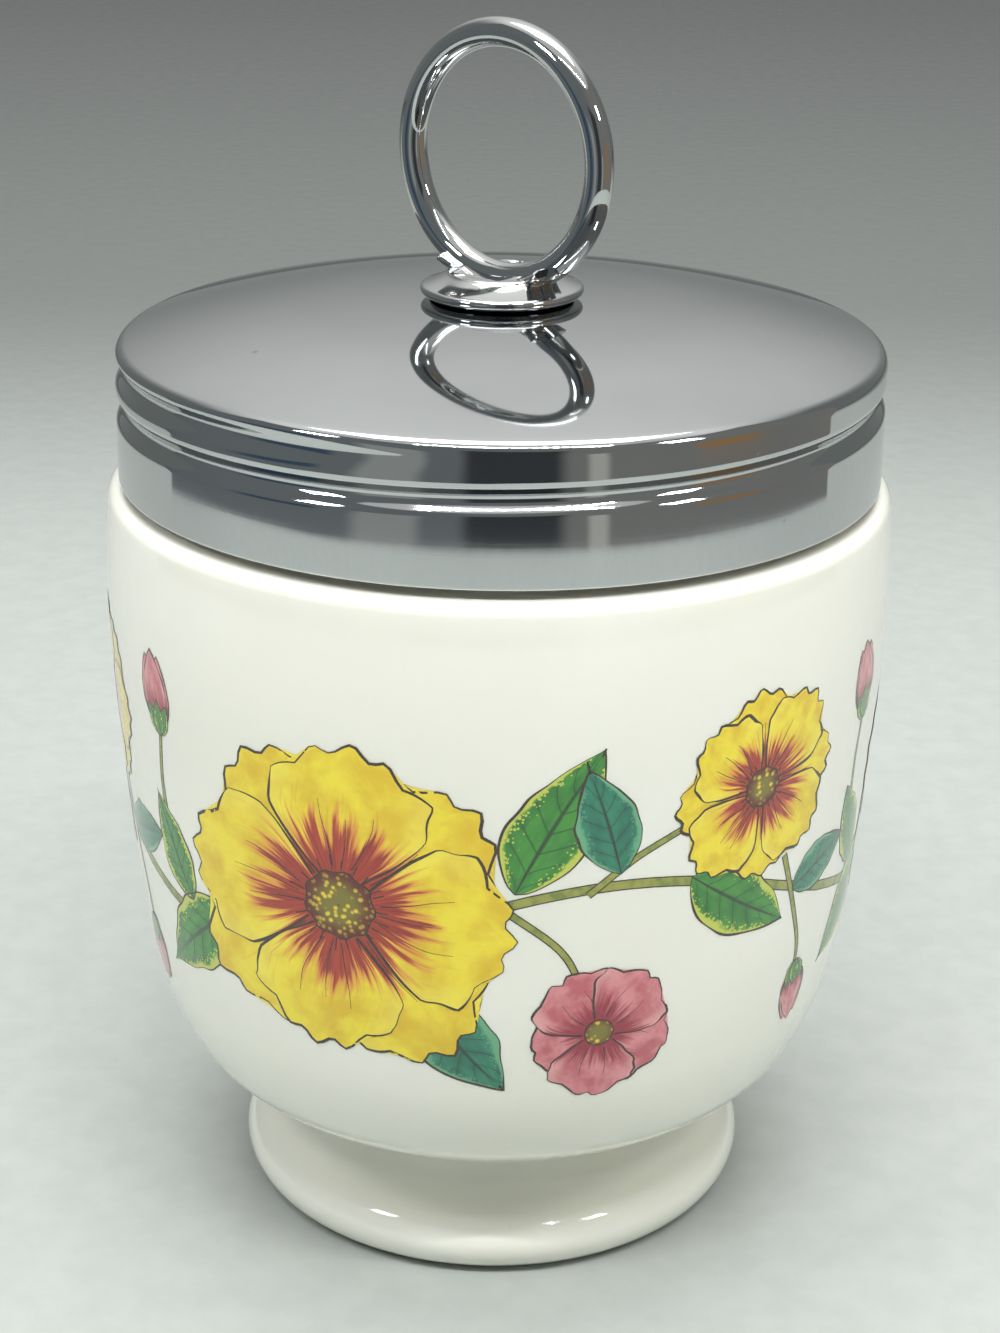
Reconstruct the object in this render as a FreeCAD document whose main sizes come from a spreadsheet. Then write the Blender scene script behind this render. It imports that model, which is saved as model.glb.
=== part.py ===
import FreeCAD, Part
import Sketcher
import math
import os
import re

# Porcelain egg coddler: a round cup on a flared foot, with an outside screw
# thread on its neck, and a chromed screw lid with a rolled thread and a fixed
# upright lifting ring.
# Frame: +Z up, origin in the middle of the plane that the foot rests on, the
# photograph's viewpoint is on the -Y side, +X to its right. Millimetres.

V = FreeCAD.Vector
doc = FreeCAD.newDocument("egg_coddler")

# ------------------------------------------------------------------ dimensions
sheet = doc.addObject("Spreadsheet::Sheet", "dims")
DIMS = [
    # --- foot of the cup
    ("foot_in_r", 16.6, "inner radius of the flat bearing ring"),
    ("foot_flat_r", 19.5, "outer radius of the flat bearing ring"),
    ("foot_out_r", 22.08, "largest radius of the foot"),
    ("foot_edge_r", 2.58, "rounding of the foot's rim"),
    ("foot_edge_top_r", 20.1365, "where rim rounding meets the cove"),
    ("foot_edge_top_z", 5.0806, "height of that point"),
    ("foot_cove_rad", 4.2226, "radius of the concave cove"),
    ("foot_neck_r", 17.0, "narrowest radius under the bowl"),
    ("foot_neck_z", 9.2, "height of the narrowest point"),
    ("crease_r", 17.25, "bowl meets foot, radius"),
    ("crease_z", 10.62, "bowl meets foot, height"),
    # --- outside of the bowl, one tangent arc after another
    ("bowl_ra", 21.811, "underside ends, belly turn starts"),
    ("bowl_za", 11.735, ""),
    ("bowl_rb", 27.361, ""),
    ("bowl_zb", 16.006, ""),
    ("bowl_rc", 29.708, ""),
    ("bowl_zc", 22.566, ""),
    ("bowl_rd", 30.940, ""),
    ("bowl_zd", 31.302, ""),
    ("bowl_re", 32.205, ""),
    ("bowl_ze", 49.627, ""),
    ("bowl_rf", 32.027, "top of the wall, where the shoulder rounds in"),
    ("bowl_zf", 62.400, ""),
    ("bowl_rad_ab", 8.527, "arc radii from the underside upwards"),
    ("bowl_rad_bc", 23.638, ""),
    ("bowl_rad_cd", 79.124, ""),
    ("bowl_rad_de", 600.0, ""),
    ("bowl_rad_ef", 94.665, ""),
    # --- shoulder and neck
    ("shoulder_r", 30.95, "shoulder rounding ends, radius"),
    ("shoulder_z", 63.38, "ledge under the lid's edge"),
    ("shoulder_rad", 1.02, "shoulder rounding"),
    ("neck_fil_r", 29.90, "ledge ends at the neck's fillet"),
    ("neck_r", 29.30, "neck outside, at the thread's root"),
    ("neck_fil_z", 63.98, "fillet ends on the neck"),
    ("neck_fil_rad", 0.60, ""),
    ("rim_z", 74.00, "top of the porcelain rim"),
    ("rim_rad", 1.20, "rounding of the rim"),
    ("rim_out_z", 72.80, "outer rounding starts"),
    ("rim_out_r", 28.10, "outer rounding ends"),
    ("rim_in_r", 27.30, "inner rounding starts"),
    ("mouth_r", 26.10, "radius of the mouth"),
    ("mouth_low_r", 26.90, "inside radius low in the wall"),
    ("mouth_low_z", 34.00, ""),
    ("well_side_rad", 22.00, "inside turn towards the bottom"),
    ("well_side_r", 22.20, ""),
    ("well_side_z", 21.10, ""),
    ("well_turn_rad", 13.50, ""),
    ("well_flat_r", 11.00, "flat bottom of the well"),
    ("well_z", 15.20, "inside bottom"),
    # --- recess under the foot
    ("recess_r", 15.60, ""),
    ("recess_z", 3.20, ""),
    ("recess_top_r", 14.40, ""),
    ("recess_top_z", 4.30, ""),
    ("recess_rad", 1.45, ""),
    # --- thread shared by neck and lid
    ("pitch", 3.00, "rise in one turn, right hand"),
    ("ridge_half_root", 0.85, "half width of the neck's ridge at its root"),
    ("ridge_half_tip", 0.38, "half width of the ridge at its crest"),
    ("ridge_root_r", 29.10, "ridge starts inside the neck wall"),
    ("ridge_tip_r", 30.12, "crest of the ridge"),
    ("ridge_start_z", 67.93, "middle of the ridge at its lower end"),
    ("ridge_start_deg", -248.0, "direction of the lower end"),
    ("ridge_rise", 4.76, "height of the ridge, end to end"),
    ("groove_half_tip", 0.30, "half width of the lid's groove at its bottom"),
    ("groove_half_out", 1.30, "half width of the cut outside the lid"),
    ("groove_tip_r", 30.30, "bottom of the groove, outside the sheet"),
    ("groove_out_r", 31.50, "cut starts outside the lid"),
    ("bead_half_root", 1.20, "half width of the bead inside the lid"),
    ("bead_half_tip", 0.72, ""),
    ("bead_root_r", 30.70, "bead starts inside the sheet"),
    ("bead_tip_r", 29.75, "crest of the bead"),
    ("groove_start_z", 69.25, "middle of the groove at its lower end"),
    ("groove_start_deg", -270.0, "direction of the lower end"),
    ("groove_rise", 4.30, "height of the groove, end to end"),
    # --- lid sheet
    ("skirt_z", 64.15, "lower edge of the skirt"),
    ("skirt_r", 31.05, "outside radius at the lower edge"),
    ("skirt_in_r", 30.50, "inside radius at the lower edge"),
    ("lid_top_r", 30.958, "outside radius under the rim"),
    ("lid_top_z", 73.937, ""),
    ("lid_top_in_r", 30.408, ""),
    ("lid_edge_rad", 1.150, "outer rounding of the lid's rim"),
    ("lid_edge_in_rad", 0.600, ""),
    ("lid_edge_r", 30.106, "rounding meets the dome"),
    ("lid_edge_z", 75.048, ""),
    ("lid_edge_in_r", 29.963, ""),
    ("lid_edge_in_z", 74.517, ""),
    ("dome_rad_b", 79.900, "outer part of the dome"),
    ("dome_in_rad_b", 79.350, ""),
    ("dome_mid_r", 15.000, ""),
    ("dome_mid_z", 77.576, ""),
    ("dome_mid_in_r", 14.9616, ""),
    ("dome_mid_in_z", 77.0273, ""),
    ("dome_rad_a", 215.034, "middle part of the dome"),
    ("dome_in_rad_a", 214.484, ""),
    ("hole_r", 2.100, "hole for the stem"),
    ("hole_top_z", 78.0897, ""),
    ("hole_low_z", 77.5397, ""),
    # --- ring and its base
    ("ring_centre_z", 89.30, "centre of the ring"),
    ("ring_rad", 9.55, "ring, centreline radius"),
    ("wire_rad", 1.15, "radius of the ring's wire"),
    ("ring_yaw", -40.0, "direction of the ring's plane"),
    ("collar_foot_r", 5.10, "flared collar, its foot on the lid"),
    ("collar_low_z", 78.10, ""),
    ("collar_rim_r", 6.40, "rim of the flare, before its rounding"),
    ("collar_rim_low_z", 78.55, ""),
    ("collar_rim_z", 79.15, ""),
    ("collar_rim_rad", 0.33, ""),
    ("collar_edge_r", 4.40, "upper edge of the flare"),
    ("collar_edge_z", 80.05, ""),
    ("collar_top_r", 4.15, ""),
    ("collar_top_z", 80.25, ""),
    ("collar_rad", 0.35, ""),
    ("waist_r", 3.40, "waist between collar and saddle"),
    ("waist_z", 80.70, ""),
    ("saddle_low_len", 8.60, "saddle at the waist"),
    ("saddle_low_wid", 3.30, ""),
    ("saddle_low_z", 80.10, ""),
    ("saddle_top_len", 10.40, "saddle at its ears"),
    ("saddle_top_wid", 4.60, ""),
    ("saddle_top_z", 82.60, ""),
    ("saddle_clear_rad", 9.30, "ears end at this distance from the ring's centre"),
    ("stem_r", 1.950, "stem under the collar, through lid and washer"),
    ("peen_r", 3.100, "stem's end, hammered over the washer"),
    ("peen_seat_z", 76.55, ""),
    ("peen_edge_z", 76.20, ""),
    ("peen_low_z", 75.50, ""),
    ("peen_rad", 7.2143, "dome of the hammered end"),
    # --- washer inside the lid
    ("washer_r", 5.50, ""),
    ("washer_hole_r", 2.05, ""),
    ("washer_low_z", 76.60, ""),
    ("washer_top_z", 77.38, ""),
    ("washer_chamfer", 0.20, ""),
]
VAL = {}
for row, (alias, value, note) in enumerate(DIMS, start=1):
    sheet.set("A%d" % row, alias)
    sheet.set("B%d" % row, "%.6g" % value)
    sheet.setAlias("B%d" % row, alias)
    if note:
        sheet.set("C%d" % row, note)
    VAL[alias] = float("%.6g" % value)
doc.recompute()
for alias in VAL:
    if abs(float(sheet.get(alias)) - VAL[alias]) > 1e-9:
        raise SystemExit("sheet cell not read back: " + alias)


def num(text):
    """Value of a sum such as 'skirt_z-groove_half_tip'."""
    total = 0.0
    for sign, word in re.findall(r"([+-]?)\s*([A-Za-z_]\w*|\d+(?:\.\d+)?)", text):
        part = VAL[word] if word in VAL else float(word)
        total += -part if sign == "-" else part
    return total


def bound(text):
    """The same sum as an expression on the sheet's cells."""
    return re.sub(r"([A-Za-z_]\w*)", r"dims.\1", text)


def origin_plane(body, role):
    for item in body.Origin.OriginFeatures:
        if item.Role == role:
            return item
    raise SystemExit("no origin plane " + role)


def new_body(name):
    body = doc.addObject("PartDesign::Body", name)
    body.Label = name
    return body


def outline(body, name, verts, segs, role="XZ_Plane", turn=None):
    """Closed sketch outline. verts: (x, y) sums of cells; segs[i] joins vertex i
    to i+1: 'L' for a line, (radius cell, +1 or -1) for an arc with its centre
    on the left or right of the way along."""
    sk = body.newObject("Sketcher::SketchObject", name)
    sk.AttachmentSupport = [(origin_plane(body, role), "")]
    sk.MapMode = "FlatFace"
    if turn is not None:
        sk.AttachmentOffset = FreeCAD.Placement(
            V(0, 0, 0), FreeCAD.Rotation(V(0, 1, 0), VAL[turn]))
    pts = [V(num(a), num(b), 0) for a, b in verts]
    n = len(pts)
    first, last = [], []
    for i, seg in enumerate(segs):
        p, q = pts[i], pts[(i + 1) % n]
        if seg == "L":
            g = sk.addGeometry(Part.LineSegment(p, q), False)
            first.append((g, 1))
            last.append((g, 2))
            continue
        rad, side = num(seg[0]), seg[1]
        mid = (p + q) * 0.5
        d = q - p
        half = d.Length / 2.0
        if half > rad:
            raise SystemExit("arc too small in %s, segment %d" % (name, i))
        left = V(-d.y, d.x, 0)
        left.normalize()
        c = mid + left * (side * math.sqrt(max(rad * rad - half * half, 0.0)))
        circle = Part.Circle(c, V(0, 0, 1), rad)
        a, b = (p, q) if side > 0 else (q, p)
        a0 = math.atan2(a.y - c.y, a.x - c.x)
        a1 = math.atan2(b.y - c.y, b.x - c.x)
        if a1 <= a0:
            a1 += 2 * math.pi
        g = sk.addGeometry(Part.ArcOfCircle(circle, a0, a1), False)
        k = sk.addConstraint(Sketcher.Constraint("Radius", g, rad))
        sk.renameConstraint(k, "rad%d" % i)
        sk.setExpression("Constraints.rad%d" % i, bound(seg[0]))
        first.append((g, 1) if side > 0 else (g, 2))
        last.append((g, 2) if side > 0 else (g, 1))
    for i in range(n):
        a, b = last[i - 1], first[i]
        sk.addConstraint(Sketcher.Constraint("Coincident", a[0], a[1], b[0], b[1]))
    for i, (ex, ey) in enumerate(verts):
        g, e = first[i]
        for kind, text, axis in (("DistanceX", ex, -2), ("DistanceY", ey, -1)):
            value = num(text)
            if abs(value) < 1e-9:
                sk.addConstraint(Sketcher.Constraint("PointOnObject", g, e, axis))
                continue
            k = sk.addConstraint(Sketcher.Constraint(kind, -1, 1, g, e, value))
            label = "%s%d" % (kind[-1].lower(), i)
            sk.renameConstraint(k, label)
            sk.setExpression("Constraints." + label, bound(text))
    return sk


def revolve(body, name, sk):
    rev = body.newObject("PartDesign::Revolution", name)
    rev.Profile = sk
    rev.ReferenceAxis = (sk, ["V_Axis"])
    rev.Angle = 360.0
    sk.Visibility = False
    return rev


def helix(body, kind, name, sk, rise):
    hx = body.newObject("PartDesign::" + kind, name)
    hx.Profile = sk
    hx.ReferenceAxis = (sk, ["V_Axis"])
    hx.Mode = 0
    hx.setExpression("Pitch", bound("pitch"))
    hx.setExpression("Height", bound(rise))
    hx.Angle = 0.0
    hx.LeftHanded = False
    hx.Reversed = False
    sk.Visibility = False
    return hx


def changed(body, before, more, what):
    doc.recompute()
    after = body.Shape.Volume
    print("%-28s volume %10.2f -> %10.2f" % (what, before, after))
    if (after - before) * (1 if more else -1) <= 0.5:
        raise SystemExit(what + " did nothing")
    return after


# ------------------------------------------------------------------------- cup
# Bowl, threaded neck and foot are one casting. The section runs from the
# bearing ring up the outside, over the rim and down the inside of the well,
# then back over the recess under the foot.
cup = new_body("cup")
cup_sk = outline(cup, "cup_section", [
    ("foot_in_r", "0"),
    ("foot_flat_r", "0"),
    ("foot_edge_top_r", "foot_edge_top_z"),
    ("foot_neck_r", "foot_neck_z"),
    ("crease_r", "crease_z"),
    ("bowl_ra", "bowl_za"),
    ("bowl_rb", "bowl_zb"),
    ("bowl_rc", "bowl_zc"),
    ("bowl_rd", "bowl_zd"),
    ("bowl_re", "bowl_ze"),
    ("bowl_rf", "bowl_zf"),
    ("shoulder_r", "shoulder_z"),
    ("neck_fil_r", "shoulder_z"),
    ("neck_r", "neck_fil_z"),
    ("neck_r", "rim_out_z"),
    ("rim_out_r", "rim_z"),
    ("rim_in_r", "rim_z"),
    ("mouth_r", "rim_out_z"),
    ("mouth_low_r", "mouth_low_z"),
    ("well_side_r", "well_side_z"),
    ("well_flat_r", "well_z"),
    ("0", "well_z"),
    ("0", "recess_top_z"),
    ("recess_top_r", "recess_top_z"),
    ("recess_r", "recess_z"),
], [
    "L",
    ("foot_edge_r", 1),
    ("foot_cove_rad", -1),
    "L",
    "L",
    ("bowl_rad_ab", 1),
    ("bowl_rad_bc", 1),
    ("bowl_rad_cd", 1),
    ("bowl_rad_de", 1),
    ("bowl_rad_ef", 1),
    ("shoulder_rad", 1),
    "L",
    ("neck_fil_rad", -1),
    "L",
    ("rim_rad", 1),
    "L",
    ("rim_rad", 1),
    "L",
    ("well_side_rad", -1),
    ("well_turn_rad", -1),
    "L",
    "L",
    "L",
    ("recess_rad", -1),
    "L",
])
revolve(cup, "cup_turned", cup_sk)
doc.recompute()
vol = cup.Shape.Volume
# Thread on the neck: one ridge, right hand, faded into the wall by its own
# tapered section.
ridge_sk = outline(cup, "neck_ridge_section", [
    ("ridge_root_r", "ridge_start_z-ridge_half_root"),
    ("ridge_tip_r", "ridge_start_z-ridge_half_tip"),
    ("ridge_tip_r", "ridge_start_z+ridge_half_tip"),
    ("ridge_root_r", "ridge_start_z+ridge_half_root"),
], ["L", "L", "L", "L"], turn="ridge_start_deg")
helix(cup, "AdditiveHelix", "neck_thread", ridge_sk, "ridge_rise")
vol = changed(cup, vol, True, "neck thread")

# ------------------------------------------------------------------- lid shell
# One pressed sheet: domed top with a hole in its middle, rounded rim, skirt.
lid = new_body("lid_shell")
lid_sk = outline(lid, "lid_section", [
    ("skirt_in_r", "skirt_z"),
    ("skirt_r", "skirt_z"),
    ("lid_top_r", "lid_top_z"),
    ("lid_edge_r", "lid_edge_z"),
    ("dome_mid_r", "dome_mid_z"),
    ("hole_r", "hole_top_z"),
    ("hole_r", "hole_low_z"),
    ("dome_mid_in_r", "dome_mid_in_z"),
    ("lid_edge_in_r", "lid_edge_in_z"),
    ("lid_top_in_r", "lid_top_z"),
], [
    "L",
    "L",
    ("lid_edge_rad", 1),
    ("dome_rad_b", 1),
    ("dome_rad_a", 1),
    "L",
    ("dome_in_rad_a", -1),
    ("dome_in_rad_b", -1),
    ("lid_edge_in_rad", -1),
    "L",
])
revolve(lid, "lid_pressed", lid_sk)
doc.recompute()
vol = lid.Shape.Volume
# The rolled thread pushes the sheet inwards: a bead inside, then the groove
# outside it, both on the same right-hand helix.
bead_sk = outline(lid, "bead_section", [
    ("bead_root_r", "groove_start_z+bead_half_root"),
    ("bead_tip_r", "groove_start_z+bead_half_tip"),
    ("bead_tip_r", "groove_start_z-bead_half_tip"),
    ("bead_root_r", "groove_start_z-bead_half_root"),
], ["L", "L", "L", "L"], turn="groove_start_deg")
helix(lid, "AdditiveHelix", "rolled_bead", bead_sk, "groove_rise")
vol = changed(lid, vol, True, "rolled bead")
groove_sk = outline(lid, "groove_section", [
    ("groove_tip_r", "groove_start_z-groove_half_tip"),
    ("groove_out_r", "groove_start_z-groove_half_out"),
    ("groove_out_r", "groove_start_z+groove_half_out"),
    ("groove_tip_r", "groove_start_z+groove_half_tip"),
], ["L", "L", "L", "L"], turn="groove_start_deg")
helix(lid, "SubtractiveHelix", "rolled_groove", groove_sk, "groove_rise")
vol = changed(lid, vol, False, "rolled groove")

# ------------------------------------------------------------------- ring base
# Flared collar turned on the lid's axis, with a saddle whose ears cradle the ring.
# Its stem goes down through the lid and the washer and is hammered over.
base = new_body("ring_base")
base_sk = outline(base, "collar_section", [
    ("0", "peen_low_z"),
    ("peen_r", "peen_edge_z"),
    ("peen_r", "peen_seat_z"),
    ("stem_r", "peen_seat_z"),
    ("stem_r", "collar_low_z"),
    ("collar_foot_r", "collar_low_z"),
    ("collar_rim_r", "collar_rim_low_z"),
    ("collar_rim_r", "collar_rim_z"),
    ("collar_edge_r", "collar_edge_z"),
    ("collar_top_r", "collar_top_z"),
    ("waist_r", "collar_top_z"),
    ("waist_r", "waist_z"),
    ("0", "waist_z"),
], [("peen_rad", 1), "L", "L", "L", "L", "L", ("collar_rim_rad", 1), "L",
    ("collar_rad", 1), "L", "L", "L", "L"])
revolve(base, "collar", base_sk)
doc.recompute()
vol = base.Shape.Volume


def plate_sketch(body, name, length, width, height):
    sk = body.newObject("Sketcher::SketchObject", name)
    sk.AttachmentSupport = [(origin_plane(body, "XY_Plane"), "")]
    sk.MapMode = "FlatFace"
    sk.AttachmentOffset = FreeCAD.Placement(
        V(0, 0, VAL[height]), FreeCAD.Rotation(V(0, 0, 1), VAL["ring_yaw"]))
    sk.setExpression("AttachmentOffset.Base.z", bound(height))
    a, b = VAL[length] / 2, VAL[width] / 2
    corners = [V(-a, -b, 0), V(a, -b, 0), V(a, b, 0), V(-a, b, 0)]
    gs = [sk.addGeometry(Part.LineSegment(corners[i], corners[(i + 1) % 4]), False)
          for i in range(4)]
    for i in range(4):
        sk.addConstraint(Sketcher.Constraint("Coincident", gs[i - 1], 2, gs[i], 1))
    sk.addConstraint(Sketcher.Constraint("Horizontal", gs[0]))
    sk.addConstraint(Sketcher.Constraint("Horizontal", gs[2]))
    sk.addConstraint(Sketcher.Constraint("Vertical", gs[1]))
    sk.addConstraint(Sketcher.Constraint("Vertical", gs[3]))
    sk.addConstraint(Sketcher.Constraint("Symmetric", gs[0], 1, gs[2], 1, -1, 1))
    for kind, g, cell, label in (("DistanceX", gs[0], length, "len"),
                                 ("DistanceY", gs[1], width, "wid")):
        k = sk.addConstraint(Sketcher.Constraint(kind, g, 1, g, 2, VAL[cell]))
        sk.renameConstraint(k, label)
        sk.setExpression("Constraints." + label, bound(cell))
    return sk


low_sk = plate_sketch(base, "saddle_foot", "saddle_low_len", "saddle_low_wid", "saddle_low_z")
top_sk = plate_sketch(base, "saddle_ears", "saddle_top_len", "saddle_top_wid", "saddle_top_z")
loft = base.newObject("PartDesign::AdditiveLoft", "saddle")
loft.Profile = low_sk
loft.Sections = [top_sk]
loft.Ruled = True
low_sk.Visibility = False
top_sk.Visibility = False
vol = changed(base, vol, True, "saddle")


def ring_axis_plane_sketch(body, name):
    """Sketch on the plane that the ring lies in: local x along the ring's
    plane, local y up."""
    sk = body.newObject("Sketcher::SketchObject", name)
    sk.AttachmentSupport = [(origin_plane(body, "XZ_Plane"), "")]
    sk.MapMode = "FlatFace"
    sk.AttachmentOffset = FreeCAD.Placement(
        V(0, 0, 0), FreeCAD.Rotation(V(0, 1, 0), VAL["ring_yaw"]))
    return sk


# Clear the inside of the ring: everything nearer to the ring's centre than the
# ears' ends comes away, so the saddle's top follows the ring.
clear_sk = ring_axis_plane_sketch(base, "ring_inside")
g = clear_sk.addGeometry(Part.Circle(V(0, VAL["ring_centre_z"], 0), V(0, 0, 1),
                                     VAL["saddle_clear_rad"]), False)
clear_sk.addConstraint(Sketcher.Constraint("PointOnObject", g, 3, -2))
k = clear_sk.addConstraint(Sketcher.Constraint("DistanceY", -1, 1, g, 3, VAL["ring_centre_z"]))
clear_sk.renameConstraint(k, "centre")
clear_sk.setExpression("Constraints.centre", bound("ring_centre_z"))
k = clear_sk.addConstraint(Sketcher.Constraint("Radius", g, VAL["saddle_clear_rad"]))
clear_sk.renameConstraint(k, "size")
clear_sk.setExpression("Constraints.size", bound("saddle_clear_rad"))
clear = base.newObject("PartDesign::Pocket", "saddle_top")
clear.Profile = clear_sk
clear.Type = 1
clear.Midplane = True
clear_sk.Visibility = False
vol = changed(base, vol, False, "saddle top")

# Seat of the ring's wire, the same torus as the ring itself.
seat = base.newObject("PartDesign::SubtractiveTorus", "ring_seat")
seat.AttachmentSupport = [(origin_plane(base, "XZ_Plane"), "")]
seat.MapMode = "FlatFace"
seat.AttachmentOffset = FreeCAD.Placement(
    V(0, VAL["ring_centre_z"], 0), FreeCAD.Rotation(V(0, 1, 0), VAL["ring_yaw"]))
seat.setExpression("AttachmentOffset.Base.y", bound("ring_centre_z"))
seat.setExpression("Radius1", bound("ring_rad"))
seat.setExpression("Radius2", bound("wire_rad"))
vol = changed(base, vol, False, "ring seat")

# ---------------------------------------------------------------- lifting ring
# A closed ring of round wire, standing upright in the saddle.
ring = doc.addObject("Part::Torus", "lifting_ring")
ring.Label = "lifting_ring"
ring.setExpression("Radius1", bound("ring_rad"))
ring.setExpression("Radius2", bound("wire_rad"))
turn_up = FreeCAD.Rotation(V(1, 0, 0), 90)
yaw = FreeCAD.Rotation(V(0, 0, 1), VAL["ring_yaw"])
ring.Placement = FreeCAD.Placement(V(0, 0, VAL["ring_centre_z"]), yaw.multiply(turn_up))
ring.setExpression("Placement.Base.z", bound("ring_centre_z"))

# ---------------------------------------------------------------- backing washer
washer = new_body("backing_washer")
washer_sk = outline(washer, "washer_section", [
    ("washer_hole_r", "washer_low_z"),
    ("washer_r-washer_chamfer", "washer_low_z"),
    ("washer_r", "washer_low_z+washer_chamfer"),
    ("washer_r", "washer_top_z"),
    ("washer_hole_r", "washer_top_z"),
], ["L", "L", "L", "L", "L"])
revolve(washer, "washer_turned", washer_sk)

doc.recompute()

# ---------------------------------------------------------------------- export
PARTS = [cup, lid, base, ring, washer]
for obj in doc.Objects:
    if "Invalid" in obj.State or "Error" in obj.State:
        raise SystemExit("failed feature: %s %s" % (obj.Name, obj.State))
for obj in PARTS:
    shape = obj.Shape
    if shape.isNull() or not shape.isValid() or len(shape.Solids) != 1:
        raise SystemExit("bad shape: %s" % obj.Label)
os.makedirs("parts", exist_ok=True)
for obj in PARTS:
    obj.Shape.exportStep(os.path.join("parts", obj.Label + ".step"))
    box = obj.Shape.optimalBoundingBox()
    print("%-16s solids %d volume %10.2f  x %.2f..%.2f y %.2f..%.2f z %.2f..%.2f" % (
        obj.Label, len(obj.Shape.Solids), obj.Shape.Volume,
        box.XMin, box.XMax, box.YMin, box.YMax, box.ZMin, box.ZMax))
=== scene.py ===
import math
import random

import bpy
import bmesh
import numpy as np
from mathutils import Matrix, Vector


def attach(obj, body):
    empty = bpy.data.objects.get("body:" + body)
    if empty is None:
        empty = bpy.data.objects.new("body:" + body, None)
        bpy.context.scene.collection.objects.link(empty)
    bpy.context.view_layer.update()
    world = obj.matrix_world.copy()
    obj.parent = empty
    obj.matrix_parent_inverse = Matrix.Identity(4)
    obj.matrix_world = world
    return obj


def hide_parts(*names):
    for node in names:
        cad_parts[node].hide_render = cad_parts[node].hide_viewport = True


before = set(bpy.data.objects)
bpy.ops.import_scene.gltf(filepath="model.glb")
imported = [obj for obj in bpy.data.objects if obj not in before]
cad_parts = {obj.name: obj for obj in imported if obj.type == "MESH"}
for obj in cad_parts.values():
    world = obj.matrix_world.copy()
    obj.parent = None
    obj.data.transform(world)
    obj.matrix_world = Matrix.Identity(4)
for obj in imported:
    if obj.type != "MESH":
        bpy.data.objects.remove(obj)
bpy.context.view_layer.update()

# Porcelain egg coddler: glazed cup with a printed garland, chromed screw lid
# with a rolled thread, saddle and lifting ring. Metres, +Z up.
MM = 0.001
rng = random.Random(20817)
nrng = np.random.default_rng(4411)


# --------------------------------------------------------------- mesh helpers
def make_piece(name, verts, faces, mats, face_mats=None, uv=None, smooth=True, attrs=None):
    me = bpy.data.meshes.new(name)
    me.from_pydata([tuple(v) for v in np.asarray(verts, dtype=float)], [],
                   [tuple(int(i) for i in f) for f in faces])
    for m in mats:
        me.materials.append(m)
    if face_mats is not None:
        me.polygons.foreach_set("material_index", np.asarray(face_mats, dtype=np.int32))
    me.polygons.foreach_set("use_smooth", np.full(len(me.polygons), bool(smooth)))
    if uv is not None:
        layer = me.uv_layers.new(name="motif")
        loops = np.empty(len(me.loops), dtype=np.int32)
        me.loops.foreach_get("vertex_index", loops)
        layer.data.foreach_set("uv", np.asarray(uv, dtype=np.float32)[loops].ravel())
    for key, values in (attrs or {}).items():
        a = me.attributes.new(key, "FLOAT", "POINT")
        a.data.foreach_set("value", np.asarray(values, dtype=np.float32))
    me.update()
    ob = bpy.data.objects.new(name, me)
    bpy.context.scene.collection.objects.link(ob)
    return ob


def outward(ob):
    bm = bmesh.new()
    bm.from_mesh(ob.data)
    bmesh.ops.recalc_face_normals(bm, faces=bm.faces)
    bm.to_mesh(ob.data)
    bm.free()
    ob.data.update()


def arc(p, q, rad, side, n):
    """Points of the arc from p to q, without p. side +1: centre on the left."""
    p, q = np.array(p, float), np.array(q, float)
    d = q - p
    half = np.hypot(*d) / 2
    left = np.array([-d[1], d[0]]) / (2 * half)
    c = (p + q) / 2 + left * side * math.sqrt(max(rad * rad - half * half, 0))
    a0 = math.atan2(*(p - c)[::-1])
    a1 = math.atan2(*(q - c)[::-1])
    if side > 0 and a1 < a0:
        a1 += 2 * math.pi
    if side < 0 and a1 > a0:
        a1 -= 2 * math.pi
    return [tuple(c + rad * np.array([math.cos(a), math.sin(a)]))
            for a in np.linspace(a0, a1, n + 1)[1:]]


def run(p, q, n):
    return [(p[0] + (q[0] - p[0]) * k / n, p[1] + (q[1] - p[1]) * k / n)
            for k in range(1, n + 1)]


def lathe(profile, segs, shift=None, closed=False):
    """Turned mesh. profile in mm as (r, z) rows; r = 0 only at the two ends of an
    open profile. shift(r, z, theta) gives new (r, z)."""
    prof = np.array(profile, float)
    th = np.arange(segs) * 2 * math.pi / segs - math.pi
    verts, faces = [], []
    rows = []
    for r, z in prof:
        if r < 1e-6:
            rows.append([len(verts)])
            verts.append((0.0, 0.0, z))
            continue
        rr, zz = np.full(segs, r), np.full(segs, z)
        if shift is not None:
            rr, zz = shift(rr, zz, th)
        base = len(verts)
        rows.append(list(range(base, base + segs)))
        verts.extend(zip(rr * np.cos(th), rr * np.sin(th), zz))
    n = len(rows)
    for i in range(n if closed else n - 1):
        a, b = rows[i], rows[(i + 1) % n]
        for k in range(segs):
            k2 = (k + 1) % segs
            if len(a) == 1:
                faces.append((a[0], b[k2], b[k]))
            elif len(b) == 1:
                faces.append((a[k], a[k2], b[0]))
            else:
                faces.append((a[k], a[k2], b[k2], b[k]))
    return np.array(verts) * MM, faces


def smoothstep(a, b, x):
    t = np.clip((x - a) / (b - a), 0, 1)
    return t * t * (3 - 2 * t)


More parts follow.
